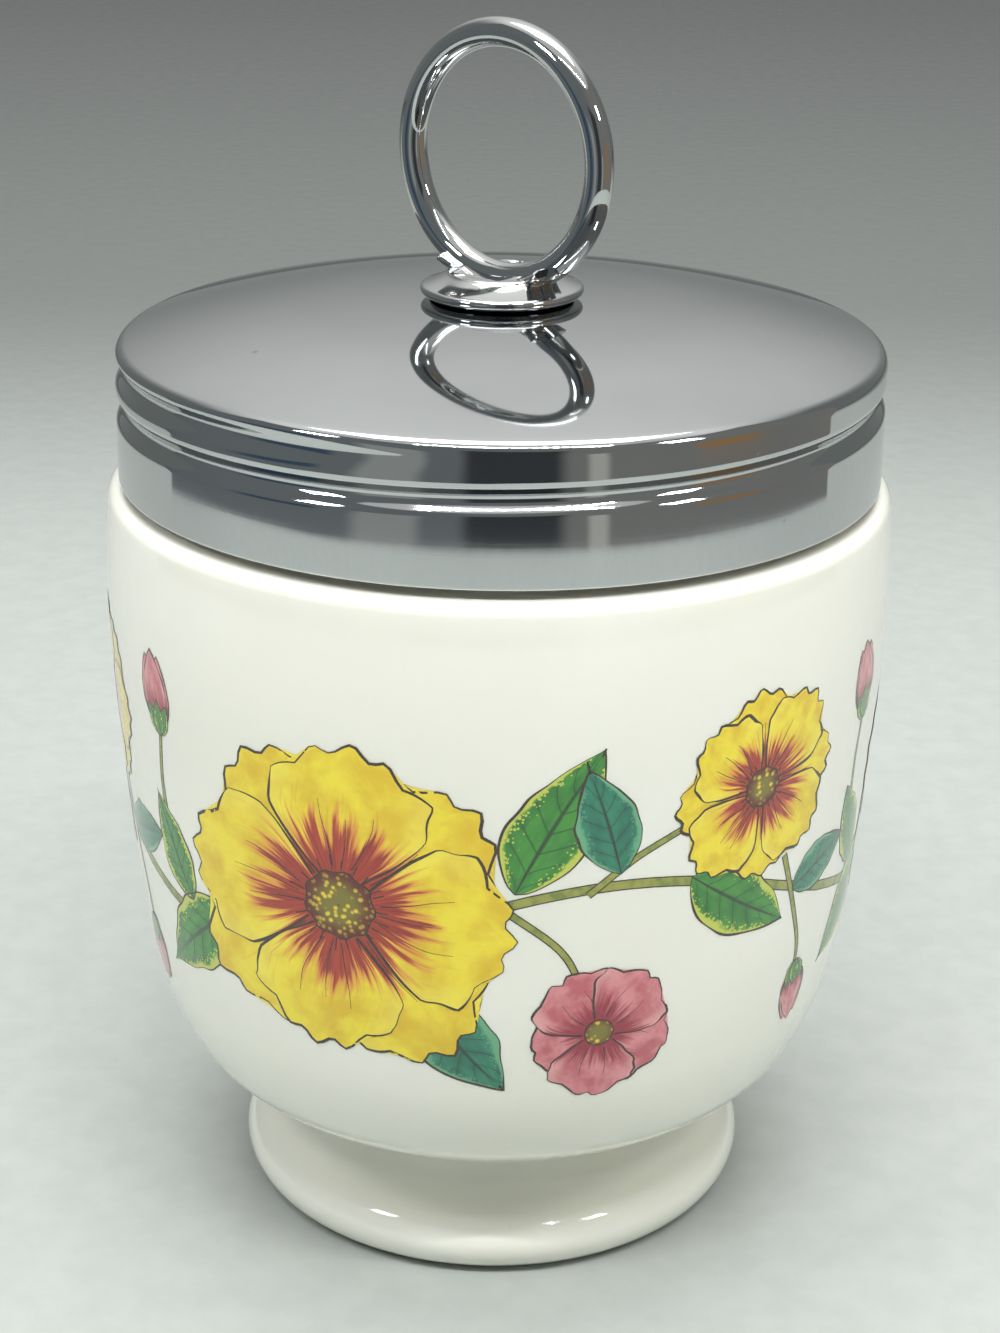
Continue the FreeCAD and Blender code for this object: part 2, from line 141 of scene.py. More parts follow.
# -------------------------------------------------------------- node helpers
class Nodes:
    """Short names for building a material's node tree."""

    def __init__(self, name):
        self.mat = bpy.data.materials.new(name)
        self.mat.use_nodes = True
        self.nt = self.mat.node_tree
        self.nt.nodes.clear()
        self.out = self.nt.nodes.new("ShaderNodeOutputMaterial")
        self.x = 0

    def add(self, kind, **props):
        n = self.nt.nodes.new(kind)
        self.x += 40
        n.location = (self.x, -self.x)
        for k, v in props.items():
            setattr(n, k, v)
        return n

    def wire(self, a, b):
        self.nt.links.new(a, b)

    def put(self, socket, value):
        if hasattr(value, "is_output") or isinstance(value, bpy.types.NodeSocket):
            self.wire(value, socket)
        else:
            socket.default_value = value

    def math(self, op, a, b=None, c=None, clamp=False):
        n = self.add("ShaderNodeMath", operation=op, use_clamp=clamp)
        self.put(n.inputs[0], a)
        if b is not None:
            self.put(n.inputs[1], b)
        if c is not None:
            self.put(n.inputs[2], c)
        return n.outputs[0]

    def step(self, value, a, b, lo=0.0, hi=1.0):
        n = self.add("ShaderNodeMapRange", interpolation_type="SMOOTHSTEP")
        self.put(n.inputs["Value"], value)
        n.inputs["From Min"].default_value = a
        n.inputs["From Max"].default_value = b
        n.inputs["To Min"].default_value = lo
        n.inputs["To Max"].default_value = hi
        return n.outputs["Result"]

    def mix(self, fac, a, b, blend="MIX"):
        n = self.add("ShaderNodeMix", data_type="RGBA", blend_type=blend)
        self.put(n.inputs[0], fac)
        for s, v in ((n.inputs[6], a), (n.inputs[7], b)):
            self.put(s, v if isinstance(v, bpy.types.NodeSocket) else (*v, 1.0))
        return n.outputs[2]

    def noise(self, vector, scale, detail=3.0, rough=0.55, distort=0.0, dims="3D", w=None):
        n = self.add("ShaderNodeTexNoise", noise_dimensions=dims)
        if vector is not None:
            self.put(n.inputs["Vector"], vector)
        n.inputs["Scale"].default_value = scale
        n.inputs["Detail"].default_value = detail
        n.inputs["Roughness"].default_value = rough
        n.inputs["Distortion"].default_value = distort
        if w is not None:
            self.put(n.inputs["W"], w)
        return n.outputs["Fac"]

    def place(self):
        return self.add("ShaderNodeTexCoord").outputs["Object"]

    def xyz(self, vector):
        n = self.add("ShaderNodeSeparateXYZ")
        self.put(n.inputs[0], vector)
        return n.outputs

    def vec(self, x, y, z):
        n = self.add("ShaderNodeCombineXYZ")
        for s, v in zip(n.inputs, (x, y, z)):
            self.put(s, v)
        return n.outputs[0]

    def bump(self, height, strength, distance, normal=None):
        n = self.add("ShaderNodeBump")
        n.inputs["Strength"].default_value = strength
        n.inputs["Distance"].default_value = distance
        self.put(n.inputs["Height"], height)
        if normal is not None:
            self.wire(normal, n.inputs["Normal"])
        return n.outputs["Normal"]

    def shader(self, **inputs):
        n = self.add("ShaderNodeBsdfPrincipled")
        for k, v in inputs.items():
            self.put(n.inputs[k.replace("_", " ")], v)
        self.wire(n.outputs[0], self.out.inputs[0])
        return n


def rgb(r, g, b):
    """Linear colour from 0-255 display values."""
    out = []
    for c in (r, g, b):
        c /= 255.0
        out.append(c / 12.92 if c <= 0.04045 else ((c + 0.055) / 1.055) ** 2.4)
    return tuple(out)


# ----------------------------------------------------------------- materials
def porcelain_material():
    n = Nodes("glazed_porcelain")
    p = n.place()
    x, y, z = n.xyz(p)
    broad = n.noise(p, 38.0, 2.0, 0.5)
    fine = n.noise(p, 900.0, 3.0, 0.6)
    warm = n.mix(n.step(broad, 0.3, 0.7), rgb(243, 243, 233), rgb(239, 239, 227))
    # a few pin-head specks of iron in the body, under the glaze
    v = n.add("ShaderNodeTexVoronoi", feature="F1")
    n.put(v.inputs["Vector"], p)
    v.inputs["Scale"].default_value = 210.0
    speck = n.step(v.outputs["Distance"], 0.075, 0.03)
    pick = n.step(n.noise(p, 120.0, 1.0, 0.5), 0.63, 0.68)
    speck = n.math("MULTIPLY", speck, pick)
    colour = n.mix(n.math("MULTIPLY", speck, 0.35), warm, rgb(176, 160, 132))
    # bare bearing ring: fired body with no glaze, slightly grey from use
    rad = n.math("SQRT", n.math("ADD", n.math("MULTIPLY", x, x), n.math("MULTIPLY", y, y)))
    bare = n.math("MULTIPLY", n.step(z, 0.00022, 0.00004),
                  n.math("MULTIPLY", n.step(rad, 0.0162, 0.0166), n.step(rad, 0.0200, 0.0196)))
    worn = n.mix(n.step(n.noise(p, 420.0, 4.0, 0.65), 0.35, 0.75), rgb(226, 220, 204), rgb(203, 194, 174))
    colour = n.mix(bare, colour, worn)
    rough = n.math("ADD", n.step(n.noise(p, 160.0, 3.0, 0.6), 0.3, 0.8, 0.055, 0.095),
                   n.math("MULTIPLY", bare, 0.5))
    waves = n.noise(p, 95.0, 2.0, 0.45)
    nor = n.bump(waves, 0.10, 0.00045)
    nor = n.bump(fine, 0.05, 0.00002, nor)
    s = n.shader(Base_Color=colour, Roughness=rough, Normal=nor)
    s.inputs["IOR"].default_value = 1.53
    s.inputs["Subsurface Weight"].default_value = 0.12
    s.inputs["Subsurface Radius"].default_value = (1.0, 0.8, 0.55)
    s.inputs["Subsurface Scale"].default_value = 0.0022
    s.inputs["Coat Weight"].default_value = 0.55
    s.inputs["Coat Roughness"].default_value = 0.02
    s.inputs["Coat IOR"].default_value = 1.5
    return n.mat


def chrome_material(name, tint=(196, 199, 200), marks=1.0, haze=0.035, grain=0.0):
    n = Nodes(name)
    p = n.place()
    x, y, z = n.xyz(p)
    cloud = n.noise(p, 55.0, 3.0, 0.55)
    # fine polishing lines, round the axis on turned pieces
    rad = n.math("SQRT", n.math("ADD", n.math("MULTIPLY", x, x), n.math("MULTIPLY", y, y)))
    lines = n.noise(n.vec(n.math("MULTIPLY", rad, 1.0), n.math("MULTIPLY", z, 1.0), 0.0), 5200.0, 3.0, 0.7)
    # pin specks of dust and tiny pits
    v = n.add("ShaderNodeTexVoronoi", feature="F1")
    n.put(v.inputs["Vector"], p)
    v.inputs["Scale"].default_value = 330.0
    dot = n.math("MULTIPLY", n.step(v.outputs["Distance"], 0.11, 0.04),
                 n.step(n.noise(p, 260.0, 1.0, 0.5), 0.60, 0.66))
    # hairline scratches in one direction
    w1 = n.noise(n.vec(n.math("ADD", n.math("MULTIPLY", x, 0.97), n.math("MULTIPLY", y, 0.25)), 0.0, z), 2600.0, 2.0, 0.5)
    hair = n.math("MULTIPLY", n.step(w1, 0.735, 0.76), n.step(n.noise(p, 70.0, 2.0, 0.5), 0.5, 0.62))
    base = n.mix(n.step(cloud, 0.3, 0.7), rgb(*tint), rgb(*(int(c * 0.965) for c in tint)))
    base = n.mix(n.math("MULTIPLY", dot, 0.55 * marks), base, rgb(112, 110, 104))
    rough = n.math("ADD", n.step(cloud, 0.3, 0.8, haze, haze * 1.9), n.math("MULTIPLY", dot, 0.30 * marks))
    rough = n.math("ADD", rough, n.math("MULTIPLY", hair, 0.06 * marks))
    h = n.math("ADD", n.math("MULTIPLY", lines, 0.35 + grain), n.math("MULTIPLY", dot, -0.8 * marks))
    h = n.math("ADD", h, n.math("MULTIPLY", hair, -0.3 * marks))
    nor = n.bump(n.noise(p, 60.0, 2.0, 0.5), 0.06, 0.0003)
    nor = n.bump(h, 0.06, 0.00001, nor)
    n.shader(Base_Color=base, Metallic=1.0, Roughness=rough, Normal=nor)
    return n.mat


def washer_material():
    n = Nodes("washer_steel_ground")
    p = n.place()
    x, y, z = n.xyz(p)
    rad = n.math("SQRT", n.math("ADD", n.math("MULTIPLY", x, x), n.math("MULTIPLY", y, y)))
    turned = n.noise(n.vec(rad, z, 0.0), 3800.0, 4.0, 0.7)
    stain = n.noise(p, 300.0, 4.0, 0.6)
    base = n.mix(n.step(stain, 0.35, 0.75), rgb(172, 170, 165), rgb(138, 133, 124))
    rough = n.step(n.math("ADD", turned, n.math("MULTIPLY", stain, 0.4)), 0.3, 1.0, 0.22, 0.45)
    n.shader(Base_Color=base, Metallic=1.0, Roughness=rough,
             Normal=n.bump(turned, 0.25, 0.00003))
    return n.mat


def print_surface(n, colour, gloss=0.075):
    """Enamel print fired into the glaze: shares the glaze's gloss."""
    p = n.place()
    nor = n.bump(n.noise(p, 95.0, 2.0, 0.45), 0.10, 0.00045)
    s = n.shader(Base_Color=colour, Roughness=n.step(n.noise(p, 240.0, 3.0, 0.6), 0.3, 0.8, gloss, gloss + 0.05), Normal=nor)
    s.inputs["IOR"].default_value = 1.53
    s.inputs["Coat Weight"].default_value = 0.55
    s.inputs["Coat Roughness"].default_value = 0.02
    s.inputs["Coat IOR"].default_value = 1.5
    return n.mat


def uv_of(n):
    u = n.add("ShaderNodeUVMap", uv_map="motif").outputs[0]
    a = n.xyz(u)
    return a[0], a[1]


def attr(n, name):
    return n.add("ShaderNodeAttribute", attribute_name=name).outputs["Fac"]


def yellow_petal_material():
    n = Nodes("print_yellow_petal")
    s, t = uv_of(n)                     # s across -1..1, t base to tip 0..1
    pick = attr(n, "pick")
    side = n.math("ABSOLUTE", s)
    streak_v = n.vec(n.math("MULTIPLY", s, 5.5), n.math("MULTIPLY", t, 0.8), n.math("MULTIPLY", pick, 9.0))
    streak = n.noise(streak_v, 1.6, 3.0, 0.6)
    fine = n.noise(n.vec(n.math("MULTIPLY", s, 15.0), n.math("MULTIPLY", t, 1.3), n.math("MULTIPLY", pick, 5.0)), 1.5, 2.0, 0.6)
    wash = n.noise(n.vec(n.math("MULTIPLY", s, 1.3), n.math("MULTIPLY", t, 2.2), n.math("MULTIPLY", pick, 7.0)), 1.7, 3.0, 0.55)
    yellow = n.mix(n.step(wash, 0.32, 0.70), rgb(246, 226, 52), rgb(226, 190, 30))
    # paler towards the rim of the petal, deeper along the folds
    yellow = n.mix(n.step(side, 0.55, 1.0, 0.0, 0.45), yellow, rgb(250, 236, 96))
    yellow = n.mix(n.math("MULTIPLY", n.step(fine, 0.60, 0.72), n.step(t, 0.95, 0.35, 0.0, 0.55)), yellow, rgb(205, 150, 36))
    # brick-red brush marks from the throat outwards
    reach = n.math("ADD", t, n.math("MULTIPLY", n.math("SUBTRACT", 0.5, streak), 0.95))
    reach = n.math("ADD", reach, n.math("MULTIPLY", side, 0.22))
    red = n.mix(n.step(fine, 0.35, 0.65), rgb(176, 62, 40), rgb(146, 42, 32))
    glow = n.mix(n.step(reach, 0.60, 0.40), yellow, rgb(224, 138, 62))
    colour = n.mix(n.step(reach, 0.47, 0.36), glow, red)
    return print_surface(n, colour)


def pink_petal_material():
    n = Nodes("print_pink_petal")
    s, t = uv_of(n)
    pick = attr(n, "pick")
    side = n.math("ABSOLUTE", s)
    streak = n.noise(n.vec(n.math("MULTIPLY", s, 8.0), n.math("MULTIPLY", t, 0.9), n.math("MULTIPLY", pick, 9.0)), 1.6, 3.0, 0.6)
    wash = n.noise(n.vec(n.math("MULTIPLY", s, 1.2), n.math("MULTIPLY", t, 1.7), n.math("MULTIPLY", pick, 7.0)), 1.8, 3.0, 0.55)
    pink = n.mix(n.step(wash, 0.32, 0.70), rgb(222, 142, 148), rgb(190, 94, 104))
    pink = n.mix(n.step(n.math("ADD", side, n.math("MULTIPLY", t, 0.25)), 0.75, 1.15, 0.0, 0.6), pink, rgb(234, 178, 176))
    reach = n.math("ADD", t, n.math("MULTIPLY", n.math("SUBTRACT", 0.5, streak), 0.8))
    colour = n.mix(n.step(reach, 0.52, 0.26), pink, rgb(150, 44, 62))
    return print_surface(n, colour)


def leaf_material(name, deep, mid, edge, rib, dots):
    n = Nodes(name)
    s, t = uv_of(n)
    pick = attr(n, "pick")
    p = n.place()
    side = n.math("ABSOLUTE", s)
    # side veins: slanted bands from the midrib
    slant = n.math("SUBTRACT", t, n.math("MULTIPLY", side, 0.20))
    band = n.add("ShaderNodeMath", operation="PINGPONG")
    n.put(band.inputs[0], n.math("MULTIPLY", slant, 7.0))
    band.inputs[1].default_value = 0.5
    vein = n.step(band.outputs[0], 0.075, 0.02)
    shade = n.step(band.outputs[0], 0.06, 0.5)
    wash = n.noise(n.vec(n.math("MULTIPLY", s, 1.6), n.math("MULTIPLY", t, 2.6), n.math("MULTIPLY", pick, 9.0)), 1.6, 3.0, 0.55)
    body = n.mix(n.step(wash, 0.3, 0.7), deep, mid)
    body = n.mix(n.math("MULTIPLY", shade, 0.35), body, mid)
    # stipple of the printer's screen near the rim
    v = n.add("ShaderNodeTexVoronoi", feature="F1")
    n.put(v.inputs["Vector"], p)
    v.inputs["Scale"].default_value = 3300.0
    rim = n.math("ADD", side, n.math("MULTIPLY", n.math("SUBTRACT", wash, 0.5), 0.5))
    size = n.step(rim, 0.35, 0.92, 0.0, 0.55)
    dot = n.math("LESS_THAN", v.outputs["Distance"], size)
    body = n.mix(n.math("MULTIPLY", dot, dots), body, edge)
    body = n.mix(n.step(rim, 0.76, 0.90), body, edge)
    body = n.mix(n.math("MULTIPLY", vein, n.step(side, 0.85, 0.6, 0.0, 0.7)), body, rib)
    body = n.mix(n.step(side, 0.075, 0.035, 0.0, 0.85), body, rib)
    return print_surface(n, body)


def plain_print_material(name, a, b, scale=900.0):
    n = Nodes(name)
    p = n.place()
    mixv = n.step(n.noise(p, scale, 3.0, 0.6), 0.35, 0.65)
    return print_surface(n, n.mix(mixv, a, b))


def disc_material():
    n = Nodes("print_flower_disc")
    s, t = uv_of(n)                     # t: 0 centre, 1 rim
    p = n.place()
    v = n.add("ShaderNodeTexVoronoi", feature="F1")
    n.put(v.inputs["Vector"], p)
    v.inputs["Scale"].default_value = 1900.0
    grain = n.step(v.outputs["Distance"], 0.48, 0.20)
    base = n.mix(n.step(t, 0.35, 0.95), rgb(126, 116, 40), rgb(98, 36, 26))
    colour = n.mix(n.math("MULTIPLY", grain, n.step(t, 1.0, 0.5, 0.25, 0.95)), base, rgb(238, 208, 60))
    return print_surface(n, colour)


def floor_material():
    n = Nodes("pale_floor")
    p = n.place()
    x, y, z = n.xyz(p)
    paper = n.noise(p, 260.0, 4.0, 0.6)
    base = n.mix(n.step(paper, 0.3, 0.7), rgb(172, 177, 173), rgb(167, 172, 168))
    # painted shade: the sweep is painted grey further back, where it leaves the light
    base = n.mix(n.step(y, 0.13, 0.34), base, rgb(119, 123, 121))
    base = n.mix(n.step(y, 0.30, 1.00), base, rgb(101, 104, 103))
    n.shader(Base_Color=base, Roughness=n.step(paper, 0.3, 0.7, 0.62, 0.72),
             Normal=n.bump(paper, 0.05, 0.0002))
    return n.mat


M_PORC = porcelain_material()
M_LID = chrome_material("lid_chrome_polished")
M_BASE = chrome_material("base_chrome_cast", tint=(200, 202, 202), haze=0.06, marks=1.3)
M_RING = chrome_material("ring_chrome_polished", tint=(202, 204, 204), haze=0.03, marks=1.2)
M_WASHER = washer_material()

# ------------------------------------------------------------------------ cup
SCREW_PITCH = 3.0
RIDGE_C, RIDGE_T0, RIDGE_T1 = 70.0, -248.0, 323.0
GROOVE_C, GROOVE_T0, GROOVE_T1 = 71.52, -270.0, 266.0


def helix_weight(z, th, centre, t0, t1, half, tip, fade_lo, fade_hi):
    """0..1: how far a point (z, theta) is inside a thread of one start."""
    deg = np.degrees(th)
    out = np.zeros_like(z)
    for turn in range(-2, 3):
        t = deg + 360.0 * turn
        zc = centre + SCREW_PITCH * t / 360.0
        a = np.abs(z - zc)
        shape = 1.0 - smoothstep(tip, half, a)
        fade = smoothstep(t0, t0 + fade_lo, t) * (1.0 - smoothstep(t1 - fade_hi, t1, t))
        out = np.maximum(out, shape * fade)
    return out


def cup_profile():
    pr = [(0.0, 4.30)]
    pr += run((0, 4.30), (14.4, 4.30), 7)
    pr += arc((14.4, 4.30), (15.6, 3.20), 1.45, -1, 6)
    pr += run((15.6, 3.20), (16.35, 0.35), 5)
    pr += arc((16.35, 0.35), (16.75, 0.0), 0.42, 1, 4)
    pr += run((16.75, 0.0), (19.5, 0.0), 5)
    pr += arc((19.5, 0.0), (20.1365, 5.0806), 2.58, 1, 22)
    pr += arc((20.1365, 5.0806), (17.0, 9.2), 4.2226, -1, 14)
    pr += run((17.0, 9.2), (17.03, 10.05), 3)
    pr += arc((17.03, 10.05), (17.62, 10.62), 0.62, -1, 5)
    pr += run((17.62, 10.62), (21.811, 11.735), 6)
    pr += arc((21.811, 11.735), (27.361, 16.006), 8.527, 1, 16)
    pr += arc((27.361, 16.006), (29.708, 22.566), 23.638, 1, 12)
    pr += arc((29.708, 22.566), (30.940, 31.302), 79.124, 1, 12)
    pr += arc((30.940, 31.302), (32.205, 49.627), 600.0, 1, 22)
    pr += arc((32.205, 49.627), (32.027, 62.400), 94.665, 1, 16)
    pr += arc((32.027, 62.40), (30.95, 63.38), 1.02, 1, 9)
    pr += run((30.95, 63.38), (29.90, 63.38), 3)
    pr += arc((29.90, 63.38), (29.30, 63.98), 0.60, -1, 5)
    pr += run((29.30, 63.98), (29.30, 72.80), 64)
    pr += arc((29.30, 72.80), (28.10, 74.00), 1.2, 1, 9)
    pr += run((28.10, 74.00), (27.30, 74.00), 3)
    pr += arc((27.30, 74.00), (26.10, 72.80), 1.2, 1, 9)
    pr += run((26.10, 72.80), (26.90, 34.00), 24)
    pr += arc((26.90, 34.00), (22.20, 21.10), 22.0, -1, 14)
    pr += arc((22.20, 21.10), (11.00, 15.20), 13.5, -1, 12)
    pr += run((11.00, 15.20), (0.0, 15.20), 5)
    return pr


def glaze_inset(z):
    """The wall stands back by the thickness of the print."""
    return 0.045 * smoothstep(13.0, 20.0, z) * (1 - smoothstep(58.0, 62.3, z))


def cup_shift(r, z, th):
    if r[0] > 27.2 and z[0] < 62.4:
        return r - glaze_inset(z), z
    if r[0] < 29.0 or z[0] < 64.0 or z[0] > 73.9:
        return r, z
    w = helix_weight(z, th, RIDGE_C, RIDGE_T0, RIDGE_T1, 0.85, 0.30, 38.0, 38.0)
    return r + 0.80 * w, z


CUP_PROFILE = cup_profile()
verts, faces = lathe(CUP_PROFILE, 320, cup_shift)
cup = make_piece("porcelain_cup", verts, faces, [M_PORC])
outward(cup)
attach(cup, "cup_body")
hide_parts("cup")

# ------------------------------------------------------------------ lid shell
SHEET = 0.55


def lid_outer():
    pr = run((31.05, 64.33), (30.958, 73.937), 84)
    pr += arc((30.958, 73.937), (30.106, 75.048), 1.15, 1, 12)
    pr += arc((30.106, 75.048), (15.0, 77.576), 79.9, 1, 24)
    pr += arc((15.0, 77.576), (2.3, 78.0877), 215.034, 1, 14)
    return pr


def lid_inner():
    pr = arc((2.3, 77.5377), (14.9616, 77.0273), 214.484, -1, 9)
    pr += arc((14.9616, 77.0273), (29.963, 74.517), 79.35, -1, 16)
    pr += arc((29.963, 74.517), (30.408, 73.937), 0.60, -1, 7)
    pr += run((30.408, 73.937), (30.50, 64.33), 84)
    return pr


def lid_shift(r, z, th):
    if r[0] < 29.6 or z[0] > 75.1:
        return r, z
    outside = r[0] > 30.70
    half, tip = (1.30, 0.02) if outside else (1.34, 0.24)
    w = helix_weight(z, th, GROOVE_C, GROOVE_T0, GROOVE_T1, half, tip, 50.0, 44.0)
    return r - 0.72 * w, z


lid_loop = [(31.05, 64.33)] + lid_outer()
lid_loop += arc((2.3, 78.0877), (2.10, 77.90), 0.2, 1, 3)
lid_loop += run((2.10, 77.90), (2.10, 77.70), 2)
lid_loop += arc((2.10, 77.70), (2.3, 77.5377), 0.2, 1, 3)
lid_loop += lid_inner()
lid_loop += arc((30.50, 64.33), (30.62, 64.15), 0.2, -1, 3)[:3]
lid_loop += run((30.62, 64.15), (30.90, 64.15), 2)
lid_loop += arc((30.90, 64.15), (31.05, 64.33), 0.2, 1, 3)[:2]
verts, faces = lathe(lid_loop, 360, lid_shift, closed=True)
lid = make_piece("lid_pressed_shell", verts, faces, [M_LID])
outward(lid)
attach(lid, "lid")
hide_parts("lid_shell")

# --------------------------------------------------------------- lifting ring
YAW = math.radians(-40.0)
RING_U = np.array([math.cos(YAW), math.sin(YAW), 0.0])       # along the ring's plane
RING_N = np.array([-math.sin(YAW), math.cos(YAW), 0.0])      # the ring's axis
RING_C = np.array([0.0, 0.0, 89.30])
RING_R, WIRE = 9.55, 1.15


def ring_mesh():
    n, m = 220, 40
    verts, faces = [], []
    for i in range(n):
        a = 2 * math.pi * i / n
        # the closing joint, brazed and polished, low on the left inside the saddle
        joint = math.exp(-((a - math.radians(247)) / 0.035) ** 2)
        w = WIRE * (1.0 - 0.016 * joint + 0.004 * math.sin(3 * a + 0.4))
        out = RING_U * math.cos(a) + np.array([0, 0, 1.0]) * math.sin(a)
        c = RING_C + out * RING_R
        for k in range(m):
            b = 2 * math.pi * k / m
            verts.append(c + out * (w * math.cos(b)) + RING_N * (w * math.sin(b)))
    for i in range(n):
        for k in range(m):
            i2, k2 = (i + 1) % n, (k + 1) % m
            faces.append((i * m + k, i2 * m + k, i2 * m + k2, i * m + k2))
    return np.array(verts) * MM, faces


verts, faces = ring_mesh()
ring = make_piece("ring_of_round_wire", verts, faces, [M_RING])
outward(ring)
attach(ring, "lid")
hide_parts("lifting_ring")


# ------------------------------------------------------------------ ring base
def closed_lathe_mm(profile, segs):
    v, f = lathe(profile, segs)
    return v / MM, f


def saddle_mm():
    """Bar swept along the ring's underside: slim over the waist, flared to an
    ear at each end, its top open to the ring's inside."""
    n, m = 41, 28
    reach = math.radians(31.0)
    verts, faces = [], []
    for i in range(n):
        f = -1 + 2 * i / (n - 1)
        a = -math.pi / 2 + reach * f
        flare = abs(f) ** 2.2
        half_w = 1.42 + 0.80 * flare
        low = 10.40 + 0.02 * flare          # farthest from the ring's centre
        top = 9.40 - 0.08 * flare
        mid, half_t = (low + top) / 2, (low - top) / 2
        out = RING_U * math.cos(a) + np.array([0, 0, 1.0]) * math.sin(a)
        for k in range(m):
            b = 2 * math.pi * k / m
            cb, sb = math.cos(b), math.sin(b)
            e = 0.72
            dr = math.copysign(abs(cb) ** e, cb) * half_t
            dn = math.copysign(abs(sb) ** e, sb) * half_w
            verts.append(RING_C + out * (mid + dr) + RING_N * dn)
    for i in range(n - 1):
        for k in range(m):
            k2 = (k + 1) % m
            faces.append((i * m + k, (i + 1) * m + k, (i + 1) * m + k2, i * m + k2))
    faces.append(tuple(range(m)))
    faces.append(tuple((n - 1) * m + k for k in reversed(range(m))))
    return np.array(verts), faces


def base_mesh():
    collar = [(0.0, 75.50)]
    collar += arc((0.0, 75.50), (2.9, 76.08), 7.6, 1, 8)
    collar += arc((2.9, 76.08), (3.1, 76.35), 0.30, 1, 3)
    collar += run((3.1, 76.35), (3.1, 76.50), 1)
    collar += run((3.1, 76.50), (1.95, 76.55), 2)
    collar += run((1.95, 76.55), (1.95, 78.10), 4)
    collar += run((1.95, 78.10), (5.90, 78.11), 6)
    collar += run((5.90, 78.11), (6.36, 78.42), 3)
    collar += arc((6.36, 78.42), (6.36, 79.14), 0.40, 1, 8)
    collar += arc((6.36, 79.14), (4.42, 80.02), 9.0, -1, 8)
    collar += arc((4.42, 80.02), (4.12, 80.22), 0.35, 1, 4)
    collar += run((4.12, 80.22), (3.35, 80.27), 3)
    collar += arc((3.35, 80.27), (3.00, 80.62), 0.50, -1, 3)
    collar += run((3.00, 80.62), (0.0, 80.66), 4)
    parts = [closed_lathe_mm(collar, 96), saddle_mm()]
    bm = bmesh.new()
    for v, f in parts:
        vs = [bm.verts.new(p) for p in v]
        for face in f:
            bm.faces.new([vs[i] for i in face])
    bmesh.ops.recalc_face_normals(bm, faces=bm.faces)
    me = bpy.data.meshes.new("base_raw")
    bm.to_mesh(me)
    bm.free()
    ob = bpy.data.objects.new("base_raw", me)
    bpy.context.scene.collection.objects.link(ob)
    mod = ob.modifiers.new("melt", "REMESH")
    mod.mode = "VOXEL"
    mod.voxel_size = 0.085
    mod.use_smooth_shade = True
    sm = ob.modifiers.new("soften", "SMOOTH")
    sm.factor = 0.5
    sm.iterations = 7
    dg = bpy.context.evaluated_depsgraph_get()
    done = bpy.data.meshes.new_from_object(ob.evaluated_get(dg))
    bpy.data.objects.remove(ob)
    return done


me = base_mesh()
co = np.empty(len(me.vertices) * 3)
me.vertices.foreach_get("co", co)
co = co.reshape(-1, 3)
# the wire's seat stays open: nothing of the casting stands inside the ring
rel = co - RING_C
u, w_, zz = rel @ RING_U, rel @ RING_N, rel[:, 2]
rad = np.hypot(u, zz)
low = (rad < 9.36) & (co[:, 2] > 79.0) & (np.abs(w_) < 3.2)
push = np.where(low, 9.36 / np.maximum(rad, 1e-6), 1.0)
co = RING_C + np.outer(u * push, RING_U) + np.outer(w_, RING_N) + np.outer(zz * push, [0, 0, 1.0])
me.vertices.foreach_set("co", (co * MM).ravel())
me.materials.clear()
me.materials.append(M_BASE)
me.polygons.foreach_set("material_index", np.zeros(len(me.polygons), dtype=np.int32))
me.polygons.foreach_set("use_smooth", np.full(len(me.polygons), True))
me.name = "cast_ring_base"
me.update()
base = bpy.data.objects.new("cast_ring_base", me)
bpy.context.scene.collection.objects.link(base)
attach(base, "lid")
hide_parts("ring_base")

# --------------------------------------------------------------------- washer
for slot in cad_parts["backing_washer"].material_slots:
    slot.material = M_WASHER

# ------------------------------------------------------------ printed garland
# The wall's profile from the underside to the shoulder, by arc length.
WALL = [(27.361, 16.006)]
WALL += arc((27.361, 16.006), (29.708, 22.566), 23.638, 1, 60)
WALL += arc((29.708, 22.566), (30.940, 31.302), 79.124, 1, 80)
WALL += arc((30.940, 31.302), (32.205, 49.627), 600.0, 1, 160)
WALL += arc((32.205, 49.627), (32.027, 62.400), 94.665, 1, 110)
WALL = np.array(WALL)
WALL[:, 0] -= glaze_inset(WALL[:, 1])
d = np.diff(WALL, axis=0)
WALL_S = np.concatenate([[0], np.cumsum(np.hypot(d[:, 0], d[:, 1]))])
tangent = np.gradient(WALL, WALL_S, axis=0)
WALL_N = np.stack([tangent[:, 1], -tangent[:, 0]], axis=1)
WALL_N /= np.hypot(WALL_N[:, 0], WALL_N[:, 1])[:, None]
V_MID = float(np.interp(37.5, WALL[:, 1], WALL_S))      # v = 0 at this height
R_REF = 31.5
TURN = 2 * math.pi * R_REF
LIFT, LAYER = 0.010, 0.003


def on_wall(u, v, layer):
    """(u, v) in mm on the unrolled wall, u to the right from the front."""
    s = np.clip(np.asarray(v) + V_MID, 0, WALL_S[-1])
    off = LIFT + LAYER * np.asarray(layer)
    r = np.interp(s, WALL_S, WALL[:, 0]) + off * np.interp(s, WALL_S, WALL_N[:, 0])
    z = np.interp(s, WALL_S, WALL[:, 1]) + off * np.interp(s, WALL_S, WALL_N[:, 1])
    phi = np.asarray(u) / R_REF
    return np.stack([r * np.sin(phi), -r * np.cos(phi), z], axis=-1)


